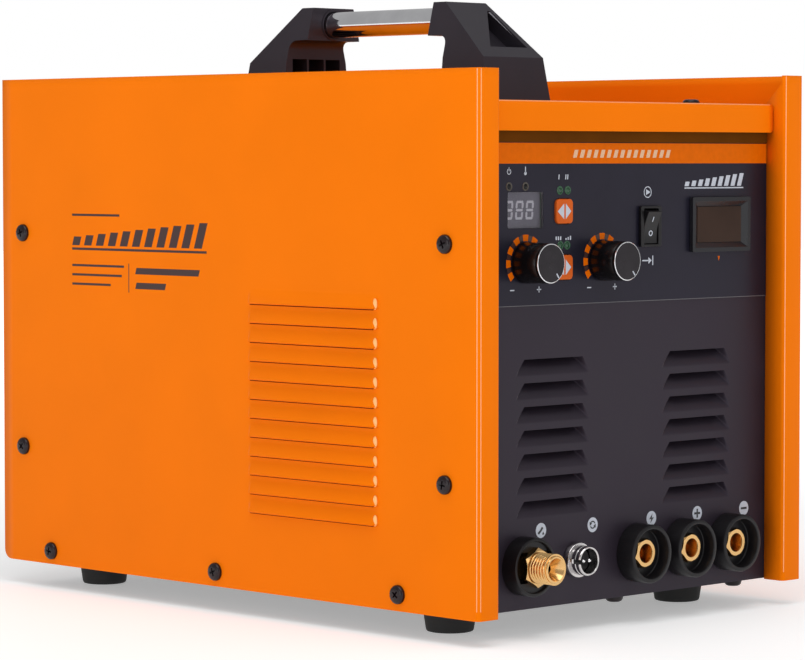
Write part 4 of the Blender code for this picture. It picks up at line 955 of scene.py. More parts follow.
def display():
    """Three unlit digits in a grey module behind the pane."""
    at = middle("display_window")
    face = PANEL + 2.6 * mm
    module = block((at.x - 13.6 * mm, at.x + 13.6 * mm), (face, high("display_module").y), (at.z - 9.6 * mm, at.z + 9.6 * mm))
    piece("display_body", module, mats["display_face"], nodes=("display_module",), edge=0.3 * mm)
    digits = bmesh.new()
    wide, tall, thick, slant, pitch = 5.8, 9.9, 1.3, 0.09, 7.8
    start = at.x / mm - 2.2
    gap = 0.18
    for i in (-1, 0, 1):
        for row in (-1, 0, 1):
            z = row * (tall - thick) / 2
            half = wide / 2 - thick * 0.55 - gap
            shape = [(-half, z - thick / 2), (half, z - thick / 2), (half + thick / 2, z), (half, z + thick / 2),
                     (-half, z + thick / 2), (-half - thick / 2, z)]
            outline = [(i * pitch + x + slant * h, h) for x, h in shape]
            prism(at_mm(outline, (start, at.z / mm)), (face - 0.2 * mm, face + 0.1 * mm), "Y", digits)
        for sx in (-1, 1):
            for sz in (-1, 1):
                x = sx * (wide - thick) / 2
                low_z, high_z = sorted((sz * (thick / 2 + gap), sz * (tall - thick) / 2 - sz * gap))
                shape = [(x - thick / 2, low_z + thick * 0.4), (x, low_z), (x + thick / 2, low_z + thick * 0.4),
                         (x + thick / 2, high_z - thick * 0.4), (x, high_z), (x - thick / 2, high_z - thick * 0.4)]
                outline = [(i * pitch + u + slant * h, h) for u, h in shape]
                prism(at_mm(outline, (start, at.z / mm)), (face - 0.2 * mm, face + 0.1 * mm), "Y", digits)
    piece("display_digits", digits, mats["digit"], sharp=20)
    pane = prism(rounded(26.9 * mm, 18.9 * mm, 1.0 * mm, (at.x, at.z)), (low("display_window").y, high("display_window").y))
    piece("display_pane", pane, mats["smoked"], nodes=("display_window",), edge=0.2 * mm)


def indicators():
    """Small domed lamps, each in its ring: dark over the display, green over the buttons."""
    dome = [(0, OVERLAY - 0.7 * mm), (0.8 * mm, OVERLAY - 0.55 * mm), (1.35 * mm, OVERLAY - 0.15 * mm), (1.5 * mm, OVERLAY - 0.01 * mm), (0, OVERLAY - 0.01 * mm)]
    rim = [(1.55 * mm, OVERLAY - 0.01 * mm), (1.55 * mm, OVERLAY - 0.2 * mm), (1.8 * mm, OVERLAY - 0.4 * mm), (2.15 * mm, OVERLAY - 0.35 * mm), (2.35 * mm, OVERLAY - 0.01 * mm)]
    for kind, places, mat, ring in (("indicator", INDICATORS, "gloss", "lamp_ring"), ("mode_lamp", LAMPS, "lamp", "green_ring")):
        for i, (x, z) in enumerate(places):
            piece(f"{kind}_{i + 1}", turn(dome, (x * mm, 0, z * mm), "Y", 20), mats[mat])
            piece(f"{kind}_{i + 1}_ring", turn(rim, (x * mm, 0, z * mm), "Y", 24), mats[ring], sharp=50)


def buttons():
    """Orange caps with a white triangle pointing each way. The caps' collars stay behind the panel."""
    for node in ("mode_button", "process_button"):
        at, front = middle(node), low(node).y
        cap = prism(rounded(12.8 * mm, 13 * mm, 2.4 * mm, (at.x, at.z)), (front, PANEL + 2.5 * mm))
        cap = boolean(cap, prism(rounded(16 * mm, 16 * mm, 3 * mm, (at.x, at.z)), (PANEL + 1.9 * mm, PANEL + 3 * mm)), "UNION")
        stem = prism(rounded(5 * mm, 5 * mm, 1 * mm, (at.x, at.z)), (PANEL + 2.8 * mm, high(node).y))
        piece(node + "_cap", boolean(cap, stem, "UNION"), mats["button"], node, (node,), 0.35 * mm, 3)
        arrows = [[(x * mm, at.z + z * mm) for x, z in shape] for shape in (
            ((-58.9, 0.0), (-53.9, -4.15), (-53.9, 4.15)), ((-52.6, -4.15), (-48.4, 0.0), (-52.6, 4.15)),
        )]
        ink(node + "_arrows", arrows, mats["white_print"], front + 0.01 * mm, node)


def knobs():
    for node in ("current_knob", "delay_knob"):
        at, face = middle(node), low(node).y
        foot, grip = 11.0 * mm, 10.35 * mm
        back = OVERLAY - 0.6 * mm
        profile = [
            (0, high(node).y), (2.7 * mm, high(node).y), (2.7 * mm, back - 4 * mm), (8.6 * mm, back - 4 * mm), (8.6 * mm, back),
            (foot - 0.3 * mm, back), (foot, back - 0.3 * mm), (grip + 0.08 * mm, face + 2.1 * mm), (grip - 0.1 * mm, face + 1.9 * mm),
            (grip - 0.1 * mm, face + 1.6 * mm), (grip + 0.02 * mm, face + 1.4 * mm), (grip, face + 0.5 * mm), (grip - 0.2 * mm, face + 0.15 * mm),
            (9.95 * mm, face + 0.15 * mm), (9.95 * mm, face + 1.2 * mm), (0, face + 1.2 * mm),
        ]
        piece(node + "_grip", turn(profile, (at.x, 0, at.z), "Y", 72), mats["gloss"], node, (node,), sharp=50)
        ring = [(grip - 0.05 * mm, face + 0.45 * mm), (grip + 0.04 * mm, face + 0.35 * mm), (grip, face + 0.05 * mm),
                (grip - 0.2 * mm, face - 0.1 * mm), (grip - 0.4 * mm, face - 0.1 * mm), (grip - 0.45 * mm, face + 0.3 * mm)]
        piece(node + "_rim", turn(ring, (at.x, 0, at.z), "Y", 72), mats["rim"], node)
        disc_profile = [(0, face - 0.02 * mm), (9.7 * mm, face), (9.9 * mm, face + 0.15 * mm), (9.9 * mm, face + 0.9 * mm), (0, face + 0.9 * mm)]
        piece(node + "_face", turn(disc_profile, (at.x, 0, at.z), "Y", 72), mats["cap"], node, (node + "_cap",))
        pointer = math.radians(-52.5)
        along = Vector((math.cos(pointer), math.sin(pointer)))
        outline = stroke(Vector((at.x, at.z)) + along * 6.8 * mm, Vector((at.x, at.z)) + along * 9.7 * mm, 0.75 * mm)
        ink(node + "_pointer", [outline], mats["white_print"], face - 0.01 * mm, node)


def rocker():
    """A small rocker in its frame. The rocker's ends meet at a low crown, and its upper end stands out."""
    at = middle("select_switch_body")
    front, back = low("select_switch_body").y, OVERLAY - 0.3 * mm
    outer = high("select_switch_body") - low("select_switch_body")
    bezel = prism(rounded(outer.x, outer.z, 1.2 * mm, (at.x, at.z)), (front, back))
    body = block((at.x - 6.7 * mm, at.x + 6.7 * mm), (back - 0.5 * mm, high("select_switch_body").y), (at.z - 10.1 * mm, at.z + 10.1 * mm))
    bezel = boolean(bezel, body, "UNION")
    well = block((at.x - 5.8 * mm, at.x + 5.8 * mm), (front - mm, -178.0 * mm), (at.z - 9.7 * mm, at.z + 9.7 * mm))
    piece("rocker_frame", boolean(bezel, well), mats["black"], nodes=("select_switch_body",), edge=0.45 * mm)
    pivot = Vector((at.x, front + 2.0 * mm, at.z))
    tilt = math.radians(12)

    def turned(up, out):
        y = out * math.cos(tilt) - up * math.sin(tilt)
        return pivot.y + y * mm, pivot.z + (up * math.cos(tilt) + out * math.sin(tilt)) * mm

    face_line = [(8.9 - 17.8 * i / 12, -1.7 - 1.5 * abs(1 - i / 6) ** 1.6) for i in range(13)]
    section = face_line + [(-8.9, 1.2), (-4.0, 3.6), (4.0, 3.6), (8.9, 1.2)]
    bm = prism([turned(*p) for p in section], (at.x - 5.4 * mm, at.x + 5.4 * mm), "X")
    piece("rocker_key", bm, mats["black"], "select_rocker", ("select_rocker",), 0.35 * mm)
    marks = bmesh.new()

    def mark(outline, slope_at):
        """A raised shape on the rocker's face near this height up it."""
        low_point = -1.7 - 1.5 * abs(slope_at / 8.9) ** 1.6
        rings = []
        for lift in (0.03, -0.12):
            ring = []
            for x, up in outline:
                out = -1.7 - 1.5 * abs(up / 8.9) ** 1.6
                y, z = turned(up, out + lift)
                ring.append(marks.verts.new((at.x + x * mm, y, z)))
            rings.append(ring)
        marks.faces.new(rings[0])
        marks.faces.new(reversed(rings[1]))
        for i in range(len(outline)):
            j = (i + 1) % len(outline)
            marks.faces.new((rings[0][j], rings[0][i], rings[1][i], rings[1][j]))
        return low_point

    mark([(-0.3, 3.0), (0.3, 3.0), (0.3, 5.8), (-0.3, 5.8)], 4.4)
    for outline in ring_outlines((0, -3.4), 1.25, 0.55):
        mark(outline, -3.4)
    piece("rocker_marks", marks, mats["white_print"], "select_rocker", sharp=60)


def meter():
    """A digital panel meter: a rim, a chamfered inner frame and a dark screen."""
    at = middle("meter_case")
    front, back, deep = low("meter_case").y, OVERLAY - 0.3 * mm, high("meter_case").y
    size = high("meter_case") - low("meter_case")
    frame_bm = prism(rounded(size.x, size.z, 1.2 * mm, (at.x, at.z)), (front, back))
    body = block((at.x - 22.6 * mm, at.x + 22.6 * mm), (back - 0.5 * mm, deep), (at.z - 13.1 * mm, at.z + 13.1 * mm))
    frame_bm = boolean(frame_bm, body, "UNION")
    outer = (size.x / 2 - 2.3 * mm, size.z / 2 - 2.3 * mm)
    inner = (18.7 * mm, 10.0 * mm)
    funnel = bmesh.new()
    rings = []
    for (half_x, half_z), y in ((outer, front - 0.4 * mm), (outer, front), (inner, front + 2.2 * mm), (inner, front + 2.3 * mm)):
        rings.append([funnel.verts.new((at.x + sx * half_x, y, at.z + sz * half_z)) for sx, sz in ((-1, -1), (1, -1), (1, 1), (-1, 1))])
    funnel.faces.new(rings[0])
    funnel.faces.new(reversed(rings[-1]))
    for first, second in zip(rings, rings[1:]):
        for i in range(4):
            j = (i + 1) % 4
            funnel.faces.new((first[j], first[i], second[i], second[j]))
    piece("meter_frame", boolean(frame_bm, funnel), mats["meter_frame"], nodes=("meter_case",), edge=0.4 * mm)
    pane = prism(rounded(2 * inner[0] - 0.2 * mm, 2 * inner[1] - 0.2 * mm, 0.5 * mm, (at.x, at.z)), (front + 1.9 * mm, front + 2.28 * mm))
    piece("meter_screen", pane, mats["screen"], nodes=("meter_window",), edge=0.1 * mm)


# ---------------------------------------------------------------- front outlets


def thread(bm, centre, radius, depth, pitch, span, steps=48, rows_per_turn=10):
    """A right-hand thread round the Y axis through the centre, as a closed sleeve over the span."""
    rows = math.ceil((span[1] - span[0]) / pitch * rows_per_turn)
    rings = []
    for j in range(rows + 1):
        y = span[0] + (span[1] - span[0]) * j / rows
        fade = smooth_step(min(y - span[0], span[1] - y) / (pitch * 0.7))
        ring = []
        for i in range(steps):
            phase = ((y - span[0]) / pitch - i / steps) % 1.0
            notch = 1 - abs(2 * phase - 1)
            r = radius - depth * fade * min(1.0, 1.25 * notch)
            angle = math.tau * i / steps
            ring.append(bm.verts.new((centre[0] + r * math.cos(angle), y, centre[2] + r * math.sin(angle))))
        rings.append(ring)
    for first, second in zip(rings, rings[1:]):
        for i in range(steps):
            j = (i + 1) % steps
            bm.faces.new((first[i], second[i], second[j], first[j]))
    bm.faces.new(rings[0])
    bm.faces.new(reversed(rings[-1]))
    return bm


def hexagon(flats, centre, turned=0.0):
    radius = flats / math.sqrt(3)
    return [(centre[0] + radius * math.cos(math.tau * i / 6 + turned), centre[1] + radius * math.sin(math.tau * i / 6 + turned)) for i in range(6)]


def torch_outlet():
    shroud, tip = middle("torch_shroud"), low("torch_fitting").y
    centre = (shroud.x, 0, shroud.z)
    face, back = low("torch_shroud").y, PANEL - 0.3 * mm
    outer = 15.6 * mm
    profile = [
        (6.4 * mm, face + 1.6 * mm), (outer - 2.2 * mm, face + 1.6 * mm), (outer - 1.9 * mm, face + 0.3 * mm), (outer - 1.6 * mm, face),
        (outer - 0.7 * mm, face), (outer - 0.2 * mm, face + 0.25 * mm), (outer, face + 0.8 * mm), (outer, back), (12.0 * mm, back),
        (12.0 * mm, high("torch_shroud").y), (6.4 * mm, high("torch_shroud").y),
    ]
    slot_cut = block((centre[0] - 20 * mm, centre[0] + 20 * mm), (face - mm, face + 5 * mm), (centre[2] - 8.2 * mm, centre[2] + 8.2 * mm))
    slot_cut = boolean(slot_cut, turn([(0, face - 2 * mm), (outer - 1.7 * mm, face - 2 * mm), (outer - 1.7 * mm, face + 6 * mm), (0, face + 6 * mm)], centre, "Y", 64), "INTERSECT")
    piece("torch_ring", boolean(turn(profile, centre, "Y", 64), slot_cut), mats["black"], nodes=("torch_shroud",), sharp=30)
    hexa = face + 0.5 * mm
    end = high("torch_fitting").y
    start, stop = tip + 0.8 * mm, hexa - 3.4 * mm
    body = thread(bmesh.new(), centre, 8.3 * mm, 1.35 * mm, 1.95 * mm, (start, stop))
    nose = [(0, tip), (6.9 * mm, tip), (7.3 * mm, tip + 0.4 * mm), (7.1 * mm, start + 0.4 * mm), (0, start + 0.4 * mm)]
    neck = [(0, stop - 0.4 * mm), (7.2 * mm, stop - 0.4 * mm), (7.2 * mm, hexa + 5 * mm), (6.1 * mm, hexa + 5 * mm), (6.1 * mm, -168.0 * mm),
            (4.0 * mm, -168.0 * mm), (4.0 * mm, end), (0, end)]
    for profile in (nose, neck):
        body = boolean(body, turn(profile, centre, "Y", 48), "UNION")
    nut = prism(hexagon(18.5 * mm, (centre[0], centre[2]), math.pi / 6), (hexa - 3.2 * mm, hexa + 3.8 * mm))
    dome = [(0, hexa - 3.3 * mm), (9.0 * mm, hexa - 3.3 * mm), (10.9 * mm, hexa - 1.9 * mm), (10.9 * mm, hexa + 4 * mm), (0, hexa + 4 * mm)]
    nut = boolean(nut, turn(dome, centre, "Y", 48), "INTERSECT")
    body = boolean(body, nut, "UNION")
    bore = [(0, tip - mm), (6.6 * mm, tip - mm), (6.1 * mm, tip), (2.2 * mm, tip + 6 * mm), (2.2 * mm, end + mm), (0, end + mm)]
    body = boolean(body, turn(bore, centre, "Y", 48))
    piece("torch_thread", body, mats["brass"], nodes=("torch_fitting",), sharp=32)


def control_connector():
    shell, face = middle("connector_shell"), low("connector_shell").y
    centre = (shell.x, 0, shell.z)
    nut, back = PANEL - 0.3 * mm, high("connector_shell").y
    profile = [
        (6.7 * mm, face + 0.3 * mm), (7.0 * mm, face), (7.5 * mm, face), (7.9 * mm, face + 0.5 * mm), (8.0 * mm, face + 1.0 * mm),
        (8.0 * mm, face + 2.4 * mm), (7.7 * mm, face + 2.7 * mm), (7.7 * mm, face + 3.1 * mm), (8.0 * mm, face + 3.4 * mm),
        (8.0 * mm, nut - 3.1 * mm), (9.2 * mm, nut - 3.0 * mm), (9.5 * mm, nut - 2.6 * mm), (9.5 * mm, nut), (7.5 * mm, nut), (7.5 * mm, back), (6.7 * mm, back),
    ]
    bm = turn(profile, centre, "Y", 64)
    key = block((centre[0] - 9 * mm, centre[0] - 6 * mm), (face - mm, face + 5.5 * mm), (centre[2] - 1.2 * mm, centre[2] + 1.2 * mm))
    piece("connector_ring", boolean(bm, key), mats["chrome_ring"], nodes=("connector_shell",), sharp=40)
    insert, floor = low("connector_insert"), face + 6.2 * mm
    base = turn([(0, floor), (6.1 * mm, floor), (6.4 * mm, floor + 0.3 * mm), (6.4 * mm, high("connector_insert").y), (0, high("connector_insert").y)], centre, "Y", 48)
    piece("connector_base", base, mats["black"], nodes=("connector_insert",), sharp=40)
    for i, dx in enumerate((-2.3 * mm, 2.3 * mm)):
        at = (centre[0] + dx, 0, centre[2])
        pin = [(0, insert.y), (0.6 * mm, insert.y + 0.15 * mm), (1.0 * mm, insert.y + 0.7 * mm), (1.0 * mm, floor + mm), (0, floor + mm)]
        piece(f"connector_pin_{i + 1}", turn(pin, at, "Y", 20), mats["rim"])


def cable_sockets():
    for name in ("pilot", "positive", "negative"):
        shell = middle(name + "_socket")
        centre = (shell.x, 0, shell.z)
        face, back = low(name + "_socket").y, PANEL - 0.3 * mm
        floor, deep = PANEL - 4.5 * mm, high(name + "_socket").y
        outer = 16.0 * mm
        profile = [
            (6.4 * mm, floor), (12.9 * mm, floor), (13.3 * mm, floor - 0.4 * mm), (13.4 * mm, face + 0.7 * mm), (13.6 * mm, face + 0.25 * mm), (14.0 * mm, face),
            (outer - 0.9 * mm, face), (outer - 0.3 * mm, face + 0.25 * mm), (outer, face + 0.9 * mm), (outer, back), (12.0 * mm, back), (12.0 * mm, deep), (6.4 * mm, deep),
        ]
        bm = turn(profile, centre, "Y", 64)
        piece(name + "_shell", bm, mats["black"], nodes=(name + "_socket",), sharp=32)
        tip, end = PANEL - 7.0 * mm, high(name + "_contact").y
        hexa = prism(hexagon(14.4 * mm, (centre[0], centre[2]), 0.25), (tip - 0.2 * mm, floor - 0.3 * mm))
        dome = [(0, tip - 0.3 * mm), (7.2 * mm, tip - 0.3 * mm), (8.5 * mm, tip + 0.6 * mm), (8.5 * mm, floor), (0, floor)]
        hexa = boolean(hexa, turn(dome, centre, "Y", 48), "INTERSECT")
        shank = [(0, tip + 0.5 * mm), (6.1 * mm, tip + 0.5 * mm), (6.1 * mm, -162 * mm), (4.0 * mm, -162 * mm), (4.0 * mm, end), (0, end)]
        hexa = boolean(hexa, turn(shank, centre, "Y", 48), "UNION")
        bore = [(0, tip - mm), (5.6 * mm, tip - mm), (5.3 * mm, tip - 0.2 * mm), (4.9 * mm, tip + 0.6 * mm), (4.9 * mm, tip + 15 * mm), (0, tip + 17 * mm)]
        piece(name + "_insert", boolean(hexa, turn(bore, centre, "Y", 48)), mats["brass"], nodes=(name + "_contact",), sharp=32)


# ---------------------------------------------------------------- handle and feet


def bracket_half(z):
    """Half the bracket's width at height z."""
    heights = [(283.3, 26.3), (309.0, 24.0), (340.7, 16.2)]
    for (z0, w0), (z1, w1) in zip(heights, heights[1:]):
        if z <= z1 * mm + 1e-7:
            return (w0 + (w1 - w0) * (z / mm - z0) / (z1 - z0)) * mm
    return heights[-1][1] * mm


def handle_bracket(node, side):
    """A tapered moulded bracket: flat slope with chamfered edges, round boss, pocket and hollow back."""
    lower = [(101.0, 283.3), (97.0, 309.0), (65.0, 309.0), (65.0, 283.3)]
    fillet = [(p[0] / mm, p[1] / mm) for p in arc((60.0 * mm, 316.6 * mm), 5.0 * mm, 90, 0, 4)]
    upper = [(97.0, 309.0), (59.4, 340.7), (50.0, 340.7), (50.0, 321.6)] + fillet + [(65.0, 309.0)]
    bm = bmesh.new()
    verts = {}
    for y, z in lower + upper:
        if (y, z) not in verts:
            half = bracket_half(z * mm)
            verts[(y, z)] = [bm.verts.new((sx * half, side * y * mm, z * mm)) for sx in (-1, 1)]
    for outline in (lower, upper):
        for k in (0, 1):
            bm.faces.new([verts[p][k] for p in outline])
    around = lower[:1] + upper + lower[3:]
    for a, b in zip(around, around[1:] + around[:1]):
        bm.faces.new((verts[a][0], verts[b][0], verts[b][1], verts[a][1]))
    bmesh.ops.recalc_face_normals(bm, faces=bm.faces)
    chosen = {"boss": [], "slope": []}
    pairs = {"boss": ([(59.4, 340.7), (50.0, 340.7)], [(50.0, 321.6), fillet[0]]), "slope": ([(97.0, 309.0), (59.4, 340.7)],)}
    for kind, runs in pairs.items():
        for a, b in runs:
            for k in (0, 1):
                chosen[kind].append(bm.edges.get((verts[a][k], verts[b][k])))
    bmesh.ops.bevel(bm, geom=chosen["boss"], offset=7.0 * mm, segments=6, profile=0.5, affect="EDGES", clamp_overlap=True)
    slope_edges = [e for e in chosen["slope"] if e.is_valid]
    bmesh.ops.bevel(bm, geom=slope_edges, offset=4.0 * mm, segments=1, profile=0.5, affect="EDGES", clamp_overlap=True)
    tube_r = high("handle_tube").x + 0.3 * mm
    tube_z = middle("handle_tube").z
    ends = sorted((side * 40 * mm, side * 58 * mm))
    bore = turn([(0, ends[0]), (tube_r, ends[0]), (tube_r, ends[1]), (0, ends[1])], (0, 0, tube_z), "Y", 48)
    bm = boolean(bm, bore)
    hollow = bmesh.new()
    for x0, x1 in ((-19, -7.5), (-6, 6), (7.5, 19)):
        block((x0 * mm, x1 * mm), sorted((side * 58 * mm, side * 88 * mm)), (288 * mm, 311 * mm), hollow)
    bm = boolean(bm, hollow)
    pocket = [(-11.4, 9.0), (18.2, 9.0), (14.2, 42.0), (11.8, 42.0)]
    slope = math.atan2(340.7 - 309.0, 97.0 - 59.4)
    placed = Matrix.Translation((0, side * 97 * mm, 309 * mm)) @ Matrix.Rotation(-side * slope, 4, "X")
    cutter = prism([(x * mm, -side * along * mm) for x, along in pocket], (-9 * mm, 6 * mm), "Z")
    bmesh.ops.transform(cutter, matrix=placed, verts=cutter.verts)
    bm = boolean(bm, cutter)
    piece(node + "_moulding", bm, mats["handle"], nodes=(node,), edge=0.7 * mm, segments=3)


def edge_highlight_strips():
    """Pale strips painted as highlights along the chamfered edges of the brackets' slopes."""
    bm = bmesh.new()
    for side in (-1, 1):
        for hand in (-1, 1):
            start = Vector((hand * 24.0, side * 97.0, 309.0)) * mm
            end = Vector((hand * 16.2, side * 59.4, 340.7)) * mm
            along = (end - start).normalized()
            down = Vector((0, -side * 31.7, -37.6)).normalized()
            across = Vector((-hand, 0, 0))
            across = (across - along * across.dot(along)).normalized()
            chamfer = (start + end) / 2 + (across + down) * 2.0 * mm
            flat, out = (across - down).normalized(), -(across + down).normalized()
            corners = [flat * f + out * o for f, o in ((-2.1, -0.6), (2.1, -0.6), (1.7, 0.8), (-1.7, 0.8))]
            half = (end - start).length / 2 - 3.0 * mm
            rings = [[bm.verts.new(chamfer + c * mm + along * a) for c in corners] for a in (-half, half)]
            bm.faces.new(rings[0])
            bm.faces.new(reversed(rings[1]))
            for i in range(4):
                j = (i + 1) % 4
                bm.faces.new((rings[0][j], rings[0][i], rings[1][i], rings[1][j]))
    piece("handle_edge_highlights", bm, mats["edge_highlight"], sharp=40)


def handle():
    handle_bracket("handle_bracket_front", -1)
    handle_bracket("handle_bracket_rear", 1)
    edge_highlight_strips()
    end, radius = high("handle_tube").y, high("handle_tube").x
    inner = radius - 1.5 * mm
    profile = [(inner, -end), (radius, -end), (radius, end), (inner, end)]
    piece("handle_bar", turn(profile, (0, 0, middle("handle_tube").z), "Y", 64), mats["chrome"], nodes=("handle_tube",), sharp=40)
    for side in (-1, 1):
        ring = [(8.3 * mm, side * 50.1 * mm), (9.2 * mm, side * 50.1 * mm), (9.2 * mm, side * 49.6 * mm), (8.6 * mm, side * 49.4 * mm), (8.3 * mm, side * 49.6 * mm)]
        piece(f"handle_collar_{'front' if side < 0 else 'rear'}", turn(ring, (0, 0, middle("handle_tube").z), "Y", 48), mats["handle"])


def feet():
    for end in ("front", "rear"):
        for side in ("left", "right"):
            node = f"foot_{end}_{side}"
            at, top = middle(node), high(node).z
            base_r, top_r = 12.8 * mm, 15.0 * mm
            profile = [(0, 7 * mm), (4.2 * mm, 7 * mm), (4.5 * mm, 6.7 * mm), (4.5 * mm, 0.3 * mm), (4.9 * mm, 0), (base_r - 1.4 * mm, 0)]
            profile += [(base_r - 0.5 * mm, 0.25 * mm), (base_r, 0.9 * mm), (base_r + 0.2 * mm, 1.8 * mm), (top_r - 0.1 * mm, top - 2 * mm)]
            profile += [(top_r, top - 0.6 * mm), (top_r - 0.3 * mm, top), (0, top)]
            piece(f"{node}_rubber", turn(profile, (at.x, at.y, 0), "Z", 48), mats["rubber"], nodes=(node,), sharp=60)
            piece(f"{node}_screw", turn([(0, 6.9 * mm), (3.9 * mm, 6.9 * mm), (3.9 * mm, 5.2 * mm), (2.6 * mm, 4.4 * mm), (0, 4.2 * mm)], (at.x, at.y, 0), "Z", 24), mats["zinc"])


# ---------------------------------------------------------------- rear


def tube_ring(radius, wire, centre, bm, steps=64, sides=8):
    """A ring of round wire round the Y axis through the centre."""
    profile = [(radius + wire * math.cos(math.tau * i / sides), wire * math.sin(math.tau * i / sides)) for i in range(sides)]
    turn([(r, centre[1] + along) for r, along in profile], (centre[0], 0, centre[2]), "Y", steps, bm)


def rod(start, end, radius, bm, sides=10):
    """A round bar with flat ends."""
    along = Vector(end) - Vector(start)
    facing = along.to_track_quat("Z", "Y").to_matrix()
    rings = []
    for point in (start, end):
        ring = []
        for i in range(sides):
            angle = math.tau * i / sides
            ring.append(bm.verts.new(Vector(point) + facing @ Vector((radius * math.cos(angle), radius * math.sin(angle), 0))))
        rings.append(ring)
    bm.faces.new(rings[0])
    bm.faces.new(reversed(rings[1]))
    for i in range(sides):
        j = (i + 1) % sides
        bm.faces.new((rings[0][j], rings[0][i], rings[1][i], rings[1][j]))


def fan_guard():
    """A guard of welded round wire: rings in front, four bent legs with eyes behind."""
    at, near = middle("fan_guard"), low("fan_guard").y
    wire = 1.1 * mm
    front = high("fan_guard").y - 3 * wire
    bm = bmesh.new()
    for radius in (54.0, 46.0, 38.0, 30.0, 22.0, 14.0):
        tube_ring(radius * mm, wire, (at.x, front, at.z), bm)
    plate = [(0, front - wire), (9.5 * mm, front - wire), (9.5 * mm, front + 0.2 * mm), (0, front + 0.6 * mm)]
    turn(plate, (at.x, 0, at.z), "Y", 32, bm)
    for turned in (45, 135, 225, 315):
        out = Vector((math.cos(math.radians(turned)), 0, math.sin(math.radians(turned))))
        lay = front + 2 * wire
        start, bend, foot_at = (Vector((at.x, 0, at.z)) + out * r * mm for r in (3.0, 71.0, 72.5))
        rod((start.x, lay, start.z), (bend.x, lay, bend.z), wire, bm)
        rod((bend.x, lay + 0.4 * wire, bend.z), (foot_at.x, near + 1.4 * mm, foot_at.z), wire, bm)
        eye = turn([(2.3 * mm, near), (4.3 * mm, near), (4.3 * mm, near + 1.6 * mm), (2.3 * mm, near + 1.6 * mm)], (foot_at.x, 0, foot_at.z), "Y", 24)
        append(bm, eye)
    piece("fan_wire_guard", bm, mats["wire"], nodes=("fan_guard",), sharp=50)


def fan_blades():
    """A hub with seven blades that twist and lean back towards their tips."""
    centre = middle("fan_rotor")
    front, rear = low("fan_rotor").y, high("fan_rotor").y
    hub = [(0, front), (21.3 * mm, front), (22 * mm, front + 0.7 * mm), (22 * mm, rear - 2.2 * mm), (21.2 * mm, rear - 0.8 * mm), (19.5 * mm, rear), (0, rear)]
    bm = turn(hub, (centre.x, 0, centre.z), "Y", 48)
    for blade in range(7):
        rows = []
        for i in range(9):
            share = i / 8
            radius = (20.5 + 33.0 * share) * mm
            lean = math.radians(22 * share * share)
            pitch = math.radians(48 - 16 * share)
            chord = (27 + 6 * share) * mm
            row = []
            for j in range(7):
                t = j / 6 - 0.5
                bow = 2.2 * mm * (1 - 4 * t * t)
                across = t * chord * math.cos(pitch) + bow * math.sin(pitch)
                along = t * chord * math.sin(pitch) - bow * math.cos(pitch)
                angle = math.tau * blade / 7 + lean + across / radius
                y = (front + rear) / 2 + along
                for side in (0, 1):
                    shift = (0.9 if side else -0.9) * mm * (1 - 0.5 * share)
                    turn_by = shift * math.sin(pitch) / radius
                    row.append((angle + turn_by, y - shift * math.cos(pitch), radius))
            rows.append([bm.verts.new((centre.x + r * math.cos(a), y, centre.z + r * math.sin(a))) for a, y, r in row])
        last = 6
        for first, second in zip(rows, rows[1:]):
            for j in range(last):
                bm.faces.new((first[2 * j], first[2 * j + 2], second[2 * j + 2], second[2 * j]))
                bm.faces.new((first[2 * j + 1], second[2 * j + 1], second[2 * j + 3], first[2 * j + 3]))
            for j in (0, last):
                bm.faces.new((first[2 * j], second[2 * j], second[2 * j + 1], first[2 * j + 1]))
        for row in (rows[0], rows[-1]):
            for j in range(last):
                bm.faces.new((row[2 * j], row[2 * j + 1], row[2 * j + 3], row[2 * j + 2]))
    piece("fan_impeller", bm, mats["black"], "fan_rotor", ("fan_rotor",), sharp=45)


def power_switch():
    carried("power_switch_body", mats["black"], 0.5 * mm)
    carried("power_switch_lever", mats["gloss"], 0.5 * mm)
    at, face = middle("power_switch_body"), high("power_switch_body").y
    marks = bmesh.new()
    for outline in ([(-0.5, 17.5), (0.5, 17.5), (0.5, 22.5), (-0.5, 22.5)],):
        prism(at_mm(outline, (at.x / mm, at.z / mm)), (face + 0.01 * mm, face + INK), "Y", marks)
    for outline in ring_outlines((at.x, at.z - 19.5 * mm), 2.3 * mm, 0.8 * mm):
        prism(outline, (face + 0.01 * mm, face + INK), "Y", marks)
    piece("power_switch_marks", marks, mats["white_print"], sharp=20)
    places = [(at.x + x * mm, face - 0.05 * mm, at.z + z * mm) for x in (-17.3, 17.3) for z in (-22.3, 22.3)]
    screws("power_switch_screw", places, (0, 1, 0), 2.6 * mm, 1.4 * mm, mats["zinc"])


